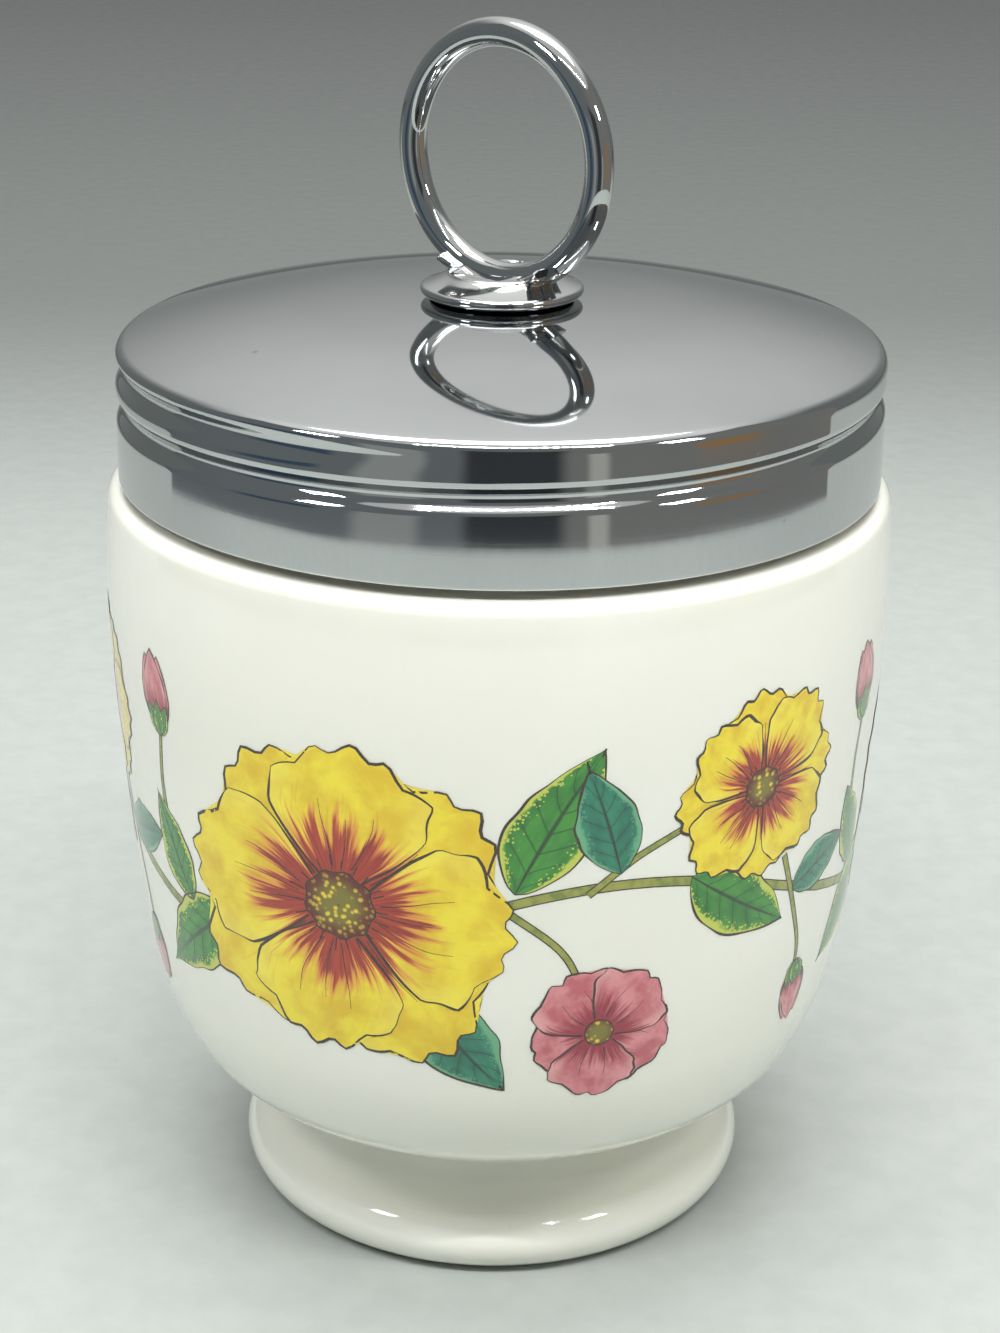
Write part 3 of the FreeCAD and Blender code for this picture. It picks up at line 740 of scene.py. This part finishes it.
class Sheet:
    """Collects the printed shapes of one colour into one mesh."""

    def __init__(self, name, material, slot="porcelain"):
        self.name, self.material, self.slot_name = name, material, slot
        self.v, self.f, self.uv, self.pick = [], [], [], []

    def grid(self, U, V, S, T, layer, pick, wrap=False):
        rows, cols = U.shape
        base = sum(len(a) for a in self.v)
        self.v.append(on_wall(U.ravel(), V.ravel(), layer))
        self.uv.append(np.stack([S.ravel(), T.ravel()], axis=1))
        self.pick.append(np.full(U.size, pick))
        for i in range(rows - 1):
            for k in range(cols if wrap else cols - 1):
                k2 = (k + 1) % cols
                a, b = base + i * cols, base + (i + 1) * cols
                self.f.append((a + k, a + k2, b + k2, b + k))

    def build(self):
        verts = np.concatenate(self.v) * MM
        ob = make_piece(self.name, verts, self.f, [self.material],
                        uv=np.concatenate(self.uv), attrs={"pick": np.concatenate(self.pick)})
        # clean up collapsed tips and turn every face outwards
        bm = bmesh.new()
        bm.from_mesh(ob.data)
        bmesh.ops.dissolve_degenerate(bm, edges=bm.edges, dist=1e-7)
        bm.normal_update()
        flip = [f for f in bm.faces if f.normal.dot(Vector((f.calc_center_median().x, f.calc_center_median().y, 0))) < 0]
        bmesh.ops.reverse_faces(bm, faces=flip)
        bm.to_mesh(ob.data)
        bm.free()
        ob.data.update()
        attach(ob, "cup_body")
        return ob


SH_YELLOW = Sheet("print_yellow_petals", yellow_petal_material())
SH_PINK = Sheet("print_pink_petals", pink_petal_material())
SH_GREEN = Sheet("print_green_leaves", leaf_material("print_green_leaf", rgb(34, 112, 44), rgb(66, 146, 52), rgb(196, 206, 84), rgb(22, 74, 34), 0.9))
SH_TEAL = Sheet("print_teal_leaves", leaf_material("print_teal_leaf", rgb(24, 104, 84), rgb(44, 134, 104), rgb(104, 172, 130), rgb(14, 70, 60), 0.5))
SH_STEM = Sheet("print_stems", plain_print_material("print_olive_stem", rgb(120, 134, 58), rgb(158, 160, 76)))
SH_DISC = Sheet("print_flower_discs", disc_material())
SH_LINE = Sheet("print_ink_lines", plain_print_material("print_ink", rgb(44, 34, 26), rgb(66, 50, 36), 2600.0))


def ribbon(sheet, pts, widths, layer, pick=0.5, closed=False):
    """Strip of the given widths along a line of (u, v) points."""
    p = np.array(pts, float)
    if closed:
        t = np.roll(p, -1, axis=0) - np.roll(p, 1, axis=0)
    else:
        t = np.gradient(p, axis=0)
    t /= np.maximum(np.hypot(t[:, 0], t[:, 1]), 1e-9)[:, None]
    nrm = np.stack([-t[:, 1], t[:, 0]], axis=1)
    w = np.asarray(widths, float) * np.ones(len(p))
    if closed:
        p = np.vstack([p, p[:1]])
        nrm = np.vstack([nrm, nrm[:1]])
        w = np.append(w, w[0])
    side = np.array([-0.5, 0.0, 0.5])
    U = p[:, 0][:, None] + nrm[:, 0][:, None] * w[:, None] * side
    V = p[:, 1][:, None] + nrm[:, 1][:, None] * w[:, None] * side
    S = np.ones_like(U) * side * 2
    T = np.linspace(0, 1, len(p))[:, None] * np.ones_like(U)
    sheet.grid(U, V, S, T, layer, pick)


def smooth_line(ctrl, n):
    """Points of a Catmull-Rom curve through the control points."""
    c = np.array(ctrl, float)
    c = np.vstack([2 * c[0] - c[1], c, 2 * c[-1] - c[-2]])
    out = []
    k = len(c) - 3
    for i in range(k):
        p0, p1, p2, p3 = c[i:i + 4]
        for t in np.linspace(0, 1, max(2, n // k), endpoint=(i == k - 1)):
            out.append(0.5 * ((2 * p1) + (-p0 + p2) * t + (2 * p0 - 5 * p1 + 4 * p2 - p3) * t ** 2
                              + (-p0 + 3 * p1 - 3 * p2 + p3) * t ** 3))
    return np.array(out)


def wobble(n, amount, waves, seed):
    g = np.random.default_rng(seed)
    x = np.linspace(0, 1, n)
    y = np.zeros(n)
    for k in range(1, waves + 1):
        y += g.normal() * np.sin(2 * math.pi * (k * x + g.random())) / math.sqrt(k)
    return y * amount


def blade(sheet, root, angle, length, width, layer, pick, shape, bend=0.0, n_t=22, n_s=13,
          outline=0.15, ruffle=0.0, seed=0, line_from=0.0, squash=1.0, squash_dir=0.0):
    """A petal or leaf. shape(t) gives the half width 0..1 for t 0..1, tip(s) the
    length at each place across. The sides may bend. Draws its ink outline and returns its (u, v) grid."""
    half, tip = shape
    t = np.linspace(0, 1, n_t)
    s = np.linspace(-1, 1, n_s)
    g = np.random.default_rng(seed)
    edge_l = 1 + ruffle * wobble(n_t, 1.0, 5, seed + 1)
    edge_r = 1 + ruffle * wobble(n_t, 1.0, 5, seed + 2)
    tip_w = tip(s) * (1 + ruffle * 0.7 * wobble(n_s, 1.0, 4, seed + 3))
    T, S = np.meshgrid(t, s, indexing="ij")
    L = np.where(S < 0, edge_l[:, None], edge_r[:, None])
    mixer = smoothstep(0.0, 0.35, np.abs(S))
    across = S * half(T) * (1 + (L - 1) * mixer) * width / 2
    along = T * length * (1 + (tip_w[None, :] - 1) * T ** 3)
    # bend the whole blade sideways along its length
    across = across + bend * length * (T ** 2)
    ca, sa = math.cos(angle), math.sin(angle)
    du = along * ca - across * sa
    dv = along * sa + across * ca
    if squash != 1.0:
        cs, ss = math.cos(squash_dir), math.sin(squash_dir)
        a = du * cs + dv * ss
        b = (-du * ss + dv * cs)
        a = a * squash
        du, dv = a * cs - b * ss, a * ss + b * cs
    U, V = root[0] + du, root[1] + dv
    sheet.grid(U, V, S, T, layer, pick)
    left = [(U[i, 0], V[i, 0]) for i in range(n_t)]
    top = [(U[-1, k], V[-1, k]) for k in range(1, n_s - 1)]
    right = [(U[i, -1], V[i, -1]) for i in range(n_t - 1, -1, -1)]
    ring_pts = left + top + right
    if outline > 0:
        p = np.array(ring_pts)
        k0 = int(line_from * n_t)
        p = p[k0:len(p) - k0] if k0 else p
        keep = [0]
        for i in range(1, len(p)):
            if np.hypot(*(p[i] - p[keep[-1]])) > 0.12:
                keep.append(i)
        p = p[keep]
        w = outline * (1 + 0.35 * wobble(len(p), 1.0, 7, seed + 9))
        ribbon(SH_LINE, p, np.clip(w, outline * 0.45, outline * 1.6), layer + 0.5)
    return U, V


def petal_half(t):
    return np.clip(np.sin(math.pi * np.clip(t, 0, 1) ** 1.15 * 0.80) ** 0.85 * 1.04 + 0.10 * (1 - t), 0.05, 1.0)


def petal_tip(s):
    return 1.0 - 0.16 * s ** 2 + 0.035 * np.cos(3.0 * math.pi * s)


def leaf_half(t):
    return np.maximum(np.sin(math.pi * np.clip(t, 0, 1) ** 0.80) ** 0.9, 0.004)


def flat_tip(s):
    return np.ones_like(s)


def round_half(t):
    return np.maximum(np.sqrt(np.clip(1 - (2 * np.clip(t, 0, 1) - 1) ** 2, 0, 1)), 0.01)


def coreopsis(cu, cv, radius, petals, layer, turn, seed, squash=1.0, squash_dir=0.0):
    """Eight-petalled yellow flower with brick-red throat marks and a small disc."""
    g = np.random.default_rng(seed)
    order = list(range(0, petals, 2)) + list(range(1, petals, 2))
    for i, k in enumerate(order):
        a = turn + 2 * math.pi * k / petals + g.normal() * 0.035
        L = radius * (1 + g.normal() * 0.035)
        W = radius * 2 * math.sin(math.pi / petals) * 1.20 * (1 + g.normal() * 0.04)
        r0 = radius * 0.10
        du, dv = math.cos(a) * r0, math.sin(a) * r0
        blade(SH_YELLOW, (cu + du, cv + dv), a, L - r0, W, layer + i, g.random(),
              (petal_half, petal_tip), bend=g.normal() * 0.03, ruffle=0.011, seed=seed * 50 + k,
              outline=0.17, line_from=0.10, n_t=26, n_s=17)
        # two or three fine ink veins on each petal
        for s0 in (-0.38, 0.02, 0.40):
            n = 12
            tt = np.linspace(0.16, 0.50 + 0.16 * g.random(), n)
            half = petal_half(tt) * W / 2
            al = tt * (L - r0)
            ac = s0 * half * (0.6 + 0.5 * tt) + 0.02 * radius * np.sin(tt * 6 + seed)
            pu = cu + du + al * math.cos(a) - ac * math.sin(a)
            pv = cv + dv + al * math.sin(a) + ac * math.cos(a)
            ribbon(SH_LINE, np.stack([pu, pv], 1), 0.09 * np.linspace(1, 0.25, n) + 0.015, layer + i + 0.6)
    # disc
    n_a, n_r = 36, 6
    rr = np.linspace(0.02, 1, n_r)
    aa = np.linspace(0, 2 * math.pi, n_a, endpoint=False)
    lump = 1 + 0.05 * np.sin(aa * 9 + seed)
    R, A = np.meshgrid(rr, aa, indexing="ij")
    Rm = R * radius * 0.205 * lump[None, :]
    SH_DISC.grid(cu + Rm * np.cos(A), cv + Rm * np.sin(A), A / math.pi, R, layer + petals + 1, 0.5, wrap=True)
    edge = np.stack([cu + Rm[-1] * np.cos(aa), cv + Rm[-1] * np.sin(aa)], 1)
    ribbon(SH_LINE, edge, 0.13, layer + petals + 1.6, closed=True)
    # stamens: short ink ticks round the disc
    for k in range(22):
        a = 2 * math.pi * k / 22 + g.normal() * 0.05
        r1, r2 = radius * 0.215, radius * (0.26 + 0.05 * g.random())
        ribbon(SH_LINE, [(cu + r * math.cos(a), cv + r * math.sin(a)) for r in np.linspace(r1, r2, 3)],
               0.10, layer + petals + 1.3)


def blossom(cu, cv, radius, layer, turn, seed):
    """Five-petalled dusty-pink flower."""
    g = np.random.default_rng(seed)
    for i, k in enumerate((0, 2, 4, 1, 3)):
        a = turn + 2 * math.pi * k / 5 + g.normal() * 0.04
        L = radius * (1 + g.normal() * 0.03)
        blade(SH_PINK, (cu, cv), a, L, radius * 1.16, layer + i, g.random(),
              (petal_half, lambda s: 1.0 - 0.20 * s ** 2 - 0.06 * np.exp(-(s / 0.16) ** 2)),
              ruffle=0.02, seed=seed * 50 + k, outline=0.14, line_from=0.12, n_t=20, n_s=15)
        for s0 in (-0.3, 0.28):
            n = 9
            tt = np.linspace(0.22, 0.66, n)
            half = petal_half(tt) * radius * 0.58
            ac = s0 * half
            al = tt * L
            ribbon(SH_LINE, np.stack([cu + al * math.cos(a) - ac * math.sin(a), cv + al * math.sin(a) + ac * math.cos(a)], 1),
                   0.075 * np.linspace(1, 0.25, n) + 0.012, layer + i + 0.6)
    n_a, n_r = 24, 5
    aa = np.linspace(0, 2 * math.pi, n_a, endpoint=False)
    R, A = np.meshgrid(np.linspace(0.02, 1, n_r), aa, indexing="ij")
    Rm = R * radius * 0.19
    SH_DISC.grid(cu + Rm * np.cos(A), cv + Rm * np.sin(A), A / math.pi, R * 0.8, layer + 7, 0.5, wrap=True)
    ribbon(SH_LINE, np.stack([cu + Rm[-1] * np.cos(aa), cv + Rm[-1] * np.sin(aa)], 1), 0.11, layer + 7.6, closed=True)


def leaf(sheet, root, angle, length, width, layer, seed, bend=0.0, stalk=True):
    g = np.random.default_rng(seed)
    U, V = blade(sheet, root, angle, length, width, layer, g.random(), (leaf_half, flat_tip),
                 bend=bend, ruffle=0.03, seed=seed * 7 + 3, outline=0.14, n_t=34, n_s=15)
    mid = U.shape[1] // 2
    ribbon(SH_LINE, np.stack([U[:-2, mid], V[:-2, mid]], 1), 0.10 * np.linspace(1, 0.3, len(U) - 2), layer + 0.6)
    return U, V


def round_leaf(sheet, cu, cv, radius, layer, seed, flat=0.86, lean=0.0):
    """Small scalloped round leaf with veins from its middle."""
    n_a, n_r = 60, 9
    aa = np.linspace(0, 2 * math.pi, n_a, endpoint=False)
    edge = radius * (1 + 0.035 * np.cos(8 * aa + seed) + 0.02 * np.cos(13 * aa + 2 * seed))
    R, A = np.meshgrid(np.linspace(0.02, 1, n_r), aa, indexing="ij")
    du, dv = R * edge[None, :] * np.cos(A), R * edge[None, :] * np.sin(A) * flat
    cl, sl = math.cos(lean), math.sin(lean)
    U, V = cu + du * cl - dv * sl, cv + du * sl + dv * cl
    SH = np.sin(A * 4.0)
    sheet.grid(U, V, R * 0.98 + 0.0 * SH, (A / (2 * math.pi)), layer, (seed * 0.37) % 1.0, wrap=True)
    ribbon(SH_LINE, np.stack([U[-1], V[-1]], 1), 0.14, layer + 0.6, closed=True)
    for k in range(8):
        a = 2 * math.pi * (k + 0.5) / 8
        rr = np.linspace(0.05, 0.82, 10)
        x, y = rr * radius * np.cos(a + 0.06 * rr), rr * radius * flat * np.sin(a + 0.06 * rr)
        ribbon(SH_LINE, np.stack([cu + x * cl - y * sl, cv + x * sl + y * cl], 1),
               0.085 * np.linspace(1, 0.25, 10) + 0.01, layer + 0.6)


def bud(cu, cv, size, angle, layer, seed):
    """Closed pink bud in a green cup of sepals."""
    for i, (da, w) in enumerate(((0.30, 0.50), (-0.30, 0.50), (0.0, 0.56))):
        blade(SH_PINK, (cu, cv), angle + da * 0.55, size * (1 - 0.06 * (i < 2)), size * w, layer + i, (seed * 0.31 + i * 0.2) % 1,
              (lambda t: np.maximum(np.sin(math.pi * np.clip(t, 0, 1) ** 0.75) ** 0.8, 0.01), flat_tip),
              seed=seed * 11 + i, outline=0.12, n_t=18, n_s=9)
    for i, da in enumerate((0.5, -0.5, 0.0)):
        blade(SH_GREEN, (cu - 0.1 * size * math.cos(angle), cv - 0.1 * size * math.sin(angle)), angle + da, size * 0.46, size * 0.22, layer + 3 + i,
              0.3 + 0.2 * i, (leaf_half, flat_tip), seed=seed * 13 + i, outline=0.10, n_t=14, n_s=7)


def stem(ctrl, w0, w1, layer, n=60):
    p = smooth_line(ctrl, n)
    ribbon(SH_STEM, p, np.linspace(w0, w1, len(p)), layer)
    t = np.gradient(p, axis=0)
    t /= np.hypot(t[:, 0], t[:, 1])[:, None]
    nrm = np.stack([-t[:, 1], t[:, 0]], 1)
    half = np.linspace(w0, w1, len(p))[:, None] / 2
    ribbon(SH_LINE, p + nrm * half, 0.10, layer + 0.5)
    ribbon(SH_LINE, p - nrm * half, 0.10, layer + 0.5)


REPEAT = TURN / 3


def garland(u0, seed):
    """One repeat of the garland, about 66 mm long."""
    def at(u, v):
        return (u0 + u, v)
    # main vine: a slow wave through the repeat
    x = np.linspace(-REPEAT / 2, REPEAT / 2, 13)
    ctrl = [at(a, -1.0 + 4.2 * math.sin(2 * math.pi * a / REPEAT + 0.5)) for a in x]
    stem(ctrl, 0.80, 0.80, 0, 140)
    # side shoots
    stem([at(9, 2.6), at(13, 5.6), at(18.5, 8.0), at(22, 8.6)], 0.60, 0.42, 1, 40)
    stem([at(2, 2.2), at(7, -2.0), at(9, -6.0), at(10, -9.0)], 0.60, 0.42, 1, 40)
    stem([at(27, 2.0), at(29, -3.0), at(30.5, -7.0), at(30.8, -9.5)], 0.55, 0.36, 1, 40)
    stem([at(-24, -4.2), at(-27.5, 0.5), at(-28.5, 5.5), at(-28.0, 10.5)], 0.55, 0.36, 1, 40)
    # leaves
    leaf(SH_GREEN, at(-20.5, -3.0), math.radians(214), 12.5, 6.2, 3, seed + 1, bend=0.10)
    leaf(SH_GREEN, at(3.5, 3.0), math.radians(66), 13.0, 6.4, 3, seed + 2, bend=-0.08)
    leaf(SH_GREEN, at(17.5, 2.8), math.radians(-38), 12.0, 5.8, 3, seed + 3, bend=0.08)
    leaf(SH_GREEN, at(-25.5, -3.6), math.radians(120), 9.0, 4.4, 3, seed + 4, bend=-0.06)
    leaf(SH_TEAL, at(-4.0, -6.0), math.radians(-58), 11.0, 6.6, 4, seed + 5, bend=0.10)
    leaf(SH_TEAL, at(11.5, 4.2), math.radians(104), 9.5, 4.8, 4, seed + 6, bend=0.06)
    leaf(SH_TEAL, at(28.6, -1.5), math.radians(18), 8.0, 4.2, 4, seed + 7, bend=-0.05)
    # blooms
    bud(u0 - 28.0, 10.6, 6.4, math.radians(98), 6, seed + 8)
    bud(u0 + 30.9, -9.6, 5.6, math.radians(-82), 6, seed + 9)
    blossom(u0 + 10.5, -9.8, 6.2, 7, 0.35 + seed, seed + 10)
    coreopsis(u0 + 23.5, 9.0, 8.0, 8, 7, 0.2 + seed, seed + 11)
    coreopsis(u0 - 10.0, 0.8, 14.0, 8, 7, 0.12 + seed * 0.7, seed + 12)


for k in range(3):
    garland(-2.0 + k * REPEAT, 3 + 20 * k)
PRINTS = [sh.build() for sh in (SH_STEM, SH_GREEN, SH_TEAL, SH_PINK, SH_YELLOW, SH_DISC, SH_LINE)]


# ---------------------------------------------------------------------- stage
def sweep():
    """Flat table top, wide enough to fill the view and run on behind it."""
    ys = [-2.20, -1.20, -0.60, -0.30, -0.15, 0.0, 0.10, 0.20, 0.35, 0.55, 0.80, 1.15, 1.60, 2.20]
    xs = np.linspace(-1.6, 1.6, 9)
    verts = [(x, y, 0.0) for y in ys for x in xs]
    m = len(xs)
    faces = [(i * m + k, i * m + k + 1, (i + 1) * m + k + 1, (i + 1) * m + k)
             for i in range(len(ys) - 1) for k in range(m - 1)]
    return verts, faces


verts, faces = sweep()
floor = make_piece("floor_sweep", verts, faces, [floor_material()])


def area(name, loc, target, size_x, size_y, power, colour=(1, 1, 1), spread=180.0):
    data = bpy.data.lights.new(name, "AREA")
    data.shape = "RECTANGLE"
    data.size, data.size_y = size_x, size_y
    data.energy = power
    data.color = colour
    data.spread = math.radians(spread)
    ob = bpy.data.objects.new(name, data)
    ob.location = loc
    ob.rotation_euler = (Vector(target) - Vector(loc)).to_track_quat("-Z", "Y").to_euler()
    bpy.context.scene.collection.objects.link(ob)
    return ob


area("top_soft", (0.0, 0.10, 0.80), (0, 0.02, 0.05), 0.62, 0.42, 3.7)
area("left_soft", (-0.70, -0.05, 0.50), (0, 0, 0.05), 0.40, 0.40, 0.8)
area("right_soft", (0.70, -0.10, 0.50), (0, 0, 0.05), 0.34, 0.40, 0.7)
left_lamp = area("left_lamp", (-0.164, -0.106, 0.21), (0, 0, 0.03), 0.040, 0.040, 0.110)
right_lamp = area("right_lamp", (0.164, -0.112, 0.21), (0, 0, 0.03), 0.040, 0.040, 0.095)
left_lamp.visible_camera = right_lamp.visible_camera = False
# row of small lamps over the front edge of the table
for k in range(21):
    area("lamp_%02d" % k, (-0.150 + 0.0175 * k, -0.235, 0.470), (0, -0.02, 0.07), 0.0075, 0.0075, 0.085)

world = bpy.data.worlds.new("studio")
bpy.context.scene.world = world
world.use_nodes = True
wt = world.node_tree
wt.nodes.clear()
out = wt.nodes.new("ShaderNodeOutputWorld")
bg = wt.nodes.new("ShaderNodeBackground")
tc = wt.nodes.new("ShaderNodeTexCoord")
sep = wt.nodes.new("ShaderNodeSeparateXYZ")
wt.links.new(tc.outputs["Generated"], sep.inputs[0])


def w_math(op, a, b=None):
    n = wt.nodes.new("ShaderNodeMath")
    n.operation = op
    for s_, v in zip(n.inputs, (a, b)):
        if v is None:
            continue
        if isinstance(v, bpy.types.NodeSocket):
            wt.links.new(v, s_)
        else:
            s_.default_value = v
    return n.outputs[0]


def w_step(value, a, b, lo=0.0, hi=1.0):
    n = wt.nodes.new("ShaderNodeMapRange")
    n.interpolation_type = "SMOOTHSTEP"
    wt.links.new(value, n.inputs["Value"])
    for key, v in (("From Min", a), ("From Max", b), ("To Min", lo), ("To Max", hi)):
        n.inputs[key].default_value = v
    return n.outputs["Result"]


def w_mix(fac, a, b):
    n = wt.nodes.new("ShaderNodeMix")
    n.data_type = "RGBA"
    wt.links.new(fac, n.inputs[0])
    for s_, v in ((n.inputs[6], a), (n.inputs[7], b)):
        if isinstance(v, bpy.types.NodeSocket):
            wt.links.new(v, s_)
        else:
            s_.default_value = (*v, 1.0)
    return n.outputs[2]


wx, wy, wz = sep.outputs
# behind the object: grey low down, lighter towards the ceiling
sky = w_mix(w_step(wz, 0.02, 0.58), (0.27, 0.285, 0.28), (0.86, 0.865, 0.845))
sky = w_mix(w_step(wz, 0.55, 0.92), sky, (1.20, 1.20, 1.17))
wide = w_step(w_math("ABSOLUTE", wx), 0.16, 0.72)
sky = w_mix(w_math("MULTIPLY", wide, w_step(wz, 0.92, 0.55)), sky, (0.20, 0.215, 0.21))
# in front: the unlit side of the room
room = w_mix(w_step(wx, -0.25, 0.45), (0.150, 0.165, 0.175), (0.215, 0.215, 0.205))
room = w_mix(w_step(wz, 0.50, 0.86), room, (0.72, 0.72, 0.70))
everything = w_mix(w_step(wy, -0.16, 0.10), room, sky)
wt.links.new(everything, bg.inputs[0])
wt.links.new(bg.outputs[0], out.inputs[0])
bg.inputs["Strength"].default_value = 0.95

# Soft cards standing round the front, out of view: only the chrome and the
# glaze mirror them.
cards = bpy.data.materials.new("studio_cards")
cards.use_nodes = True
wt = cards.node_tree
wt.nodes.clear()
c_out = wt.nodes.new("ShaderNodeOutputMaterial")
c_em = wt.nodes.new("ShaderNodeEmission")
c_pos = wt.nodes.new("ShaderNodeTexCoord")
c_off = wt.nodes.new("ShaderNodeVectorMath")
c_off.operation = "SUBTRACT"
c_off.inputs[1].default_value = (0.0, 0.0, 0.07)
c_dir = wt.nodes.new("ShaderNodeVectorMath")
c_dir.operation = "NORMALIZE"
c_sep = wt.nodes.new("ShaderNodeSeparateXYZ")
wt.links.new(c_pos.outputs["Object"], c_off.inputs[0])
wt.links.new(c_off.outputs[0], c_dir.inputs[0])
wt.links.new(c_dir.outputs[0], c_sep.inputs[0])
wx, wy, wz = c_sep.outputs


def card(x0, x1, z0, z1, soft, colour, under):
    m_ = w_math("MULTIPLY", w_step(wx, x0 - soft, x0 + soft), w_step(wx, x1 + soft, x1 - soft))
    m_ = w_math("MULTIPLY", m_, w_math("MULTIPLY", w_step(wz, z0 - soft, z0 + soft),
                                       w_step(wz, z1 + soft, z1 - soft)))
    return w_mix(m_, under, colour)


room = w_mix(w_step(wx, -0.25, 0.45), (0.170, 0.185, 0.192), (0.230, 0.230, 0.220))
room = card(-0.16, 0.28, -0.60, 0.50, 0.045, (0.050, 0.054, 0.058), room)
room = card(-0.62, -0.36, -0.60, 0.22, 0.04, (0.34, 0.35, 0.34), room)
room = card(-0.96, -0.76, -0.20, 0.14, 0.03, (0.055, 0.090, 0.135), room)
room = card(0.39, 0.47, -0.30, 0.10, 0.02, (0.50, 0.50, 0.46), room)
room = card(0.80, 0.95, -0.22, 0.22, 0.03, (0.36, 0.215, 0.10), room)
wt.links.new(room, c_em.inputs[0])
wt.links.new(c_em.outputs[0], c_out.inputs[0])
az = np.radians(np.linspace(-105, 105, 43))
ring_v = [(0.235 * math.sin(a), -0.235 * math.cos(a), z) for z in (0.001, 0.12, 0.24, 0.36) for a in az]
ring_f = [(i * 43 + k, i * 43 + k + 1, (i + 1) * 43 + k + 1, (i + 1) * 43 + k)
          for i in range(3) for k in range(42)]
screen = make_piece("studio_card_screen", ring_v, ring_f, [cards])
screen.visible_camera = False
screen.visible_diffuse = False
screen.visible_shadow = False
screen.visible_transmission = False
screen.visible_volume_scatter = False

# --------------------------------------------------------------------- camera
cam_data = bpy.data.cameras.new("camera")
cam_data.sensor_width = 36.0
cam_data.lens = 2543.98 / 1333.0 * 36.0
cam_data.clip_start, cam_data.clip_end = 0.01, 20.0
cam = bpy.data.objects.new("camera", cam_data)
bpy.context.scene.collection.objects.link(cam)
alpha, beta, rho = 0.37737, 0.00112, 0.01284
fwd = Vector((math.sin(beta) * math.cos(alpha), math.cos(beta) * math.cos(alpha), -math.sin(alpha)))
right = Vector((math.cos(beta), -math.sin(beta), 0.0))
up = right.cross(fwd)
r2 = right * math.cos(rho) + up * math.sin(rho)
u2 = -right * math.sin(rho) + up * math.cos(rho)
m = Matrix((r2, u2, -fwd)).transposed().to_4x4()
m.translation = Vector((0.0, -0.20057, 0.12566))
cam.matrix_world = m
bpy.context.scene.camera = cam
bpy.context.scene.view_settings.view_transform = "Standard"
bpy.context.scene.view_settings.look = "None"
